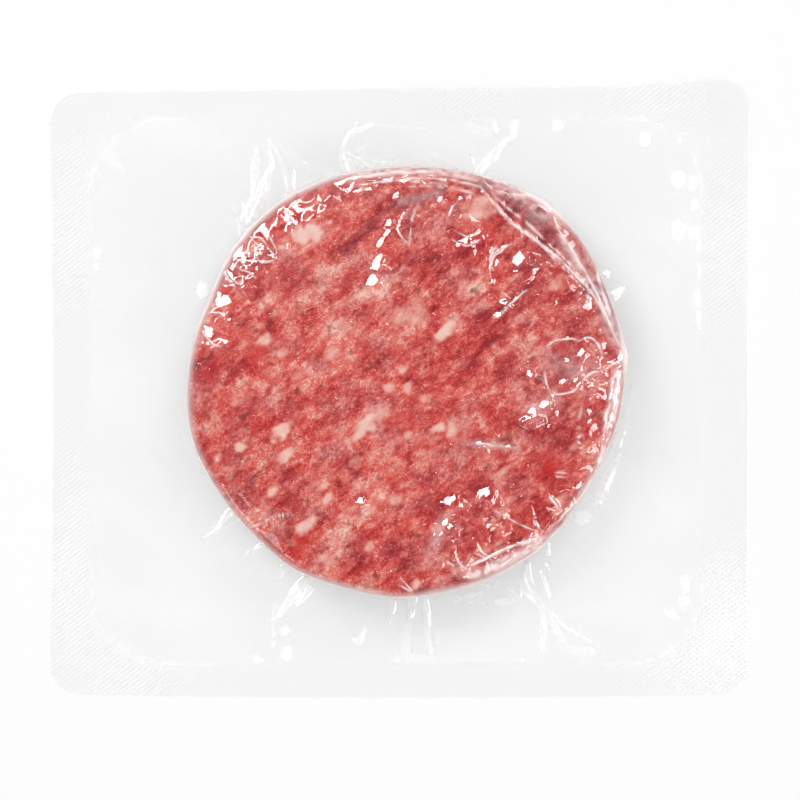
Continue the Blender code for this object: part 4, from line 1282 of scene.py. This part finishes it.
studio = {
    "viewWidth": 0.2032, "viewX": 0.0002, "viewY": -0.0022, "cameraHeight": 1.0, "sensor": 36,
    "floorSize": 3.0, "floorColour": 0.50, "floorRoughness": 0.9, "floorGlow": 0.35,
    # bright all round and dim overhead, so that flat film stays clear and steep film whitens
    "sky": ((0.0, grey(1.0)), (0.35, grey(0.50)), (0.70, grey(0.18)), (1.0, grey(0.12))),
}
lamps = (
    # name, azimuth, degrees off straight up, distance, width, height, brightness, lights or only glints
    ("overLight", 90, 0, 1.3, 2.20, 2.20, 1.15, True),
    ("keyLight", 138, 46, 1.2, 0.50, 0.50, 5.4, True),
    ("rightLight", -25, 55, 1.3, 0.50, 0.50, 3.4, True),
    ("nearLight", 250, 52, 1.3, 0.50, 0.50, 3.2, True),
    ("farLight", 60, 50, 1.3, 0.50, 0.50, 3.2, True),
    ("keyGlint", 132, 46, 1.2, 1.06, 0.44, 20.0, False),
    ("rightGlint", -4, 48, 1.2, 0.50, 0.34, 13.0, False),
    ("cornerGlint", -48, 50, 1.2, 0.40, 0.28, 9.0, False),
    ("nearGlint", 226, 50, 1.2, 0.40, 0.26, 3.0, False),
    ("farGlint", 50, 50, 1.2, 0.40, 0.26, 8.0, False),
)


def makeFloor():
    mesh = bpy.data.meshes.new("floor")
    low, high = -studio["floorSize"] / 2, studio["floorSize"] / 2
    mesh.from_pydata([(low, low, 0), (high, low, 0), (high, high, 0), (low, high, 0)], [], [(0, 1, 2, 3)])
    floor = bpy.data.objects.new("floor", mesh)
    bpy.context.scene.collection.objects.link(floor)
    paint, tree = newMaterial("floorPaint")
    fill(tree, {"Base Color": grey(studio["floorColour"]), "Roughness": studio["floorRoughness"],
                "Specular IOR Level": 0, "Emission Color": grey(1), "Emission Strength": studio["floorGlow"]})
    mesh.materials.append(paint)


def makeSky():
    world = bpy.data.worlds.new("studioWorld")
    world.use_nodes = True
    tree = world.node_tree
    towards = nodeIn(tree, "ShaderNodeTexCoord").outputs["Generated"]
    height = nodeIn(tree, "ShaderNodeSeparateXYZ", Vector=towards).outputs["Z"]
    plug(tree, ramp(tree, height, *studio["sky"]), tree.nodes["Background"].inputs["Color"])
    bpy.context.scene.world = world


def makeLamps():
    for name, azimuth, off, distance, width, height, brightness, lights in lamps:
        lampData = bpy.data.lights.new(name, "AREA")
        lampData.shape = "RECTANGLE"
        lampData.size, lampData.size_y = width, height
        lampData.energy = brightness * math.pi * width * height
        lamp = bpy.data.objects.new(name, lampData)
        turn, tilt = math.radians(azimuth), math.radians(off)
        towards = Vector((math.cos(turn) * math.sin(tilt), math.sin(turn) * math.sin(tilt), math.cos(tilt)))
        lamp.location = towards * distance
        lamp.rotation_euler = towards.to_track_quat("Z", "Y").to_euler()
        lamp.visible_diffuse, lamp.visible_glossy = lights, not lights
        bpy.context.scene.collection.objects.link(lamp)


def makeCamera():
    cameraData = bpy.data.cameras.new("camera")
    cameraData.sensor_width = studio["sensor"]
    cameraData.lens = studio["sensor"] * studio["cameraHeight"] / studio["viewWidth"]
    camera = bpy.data.objects.new("camera", cameraData)
    camera.location = (studio["viewX"], studio["viewY"], studio["cameraHeight"])
    bpy.context.scene.collection.objects.link(camera)
    bpy.context.scene.camera = camera
    bpy.context.scene.view_settings.view_transform = "Standard"


makeFloor()
makeSky()
makeLamps()
makeCamera()
print("studio ready")
makePatty(beefMaterial())
makeFormedFilm(formedFilmMaterial())
makeBaseFilm(baseFilmMaterial())
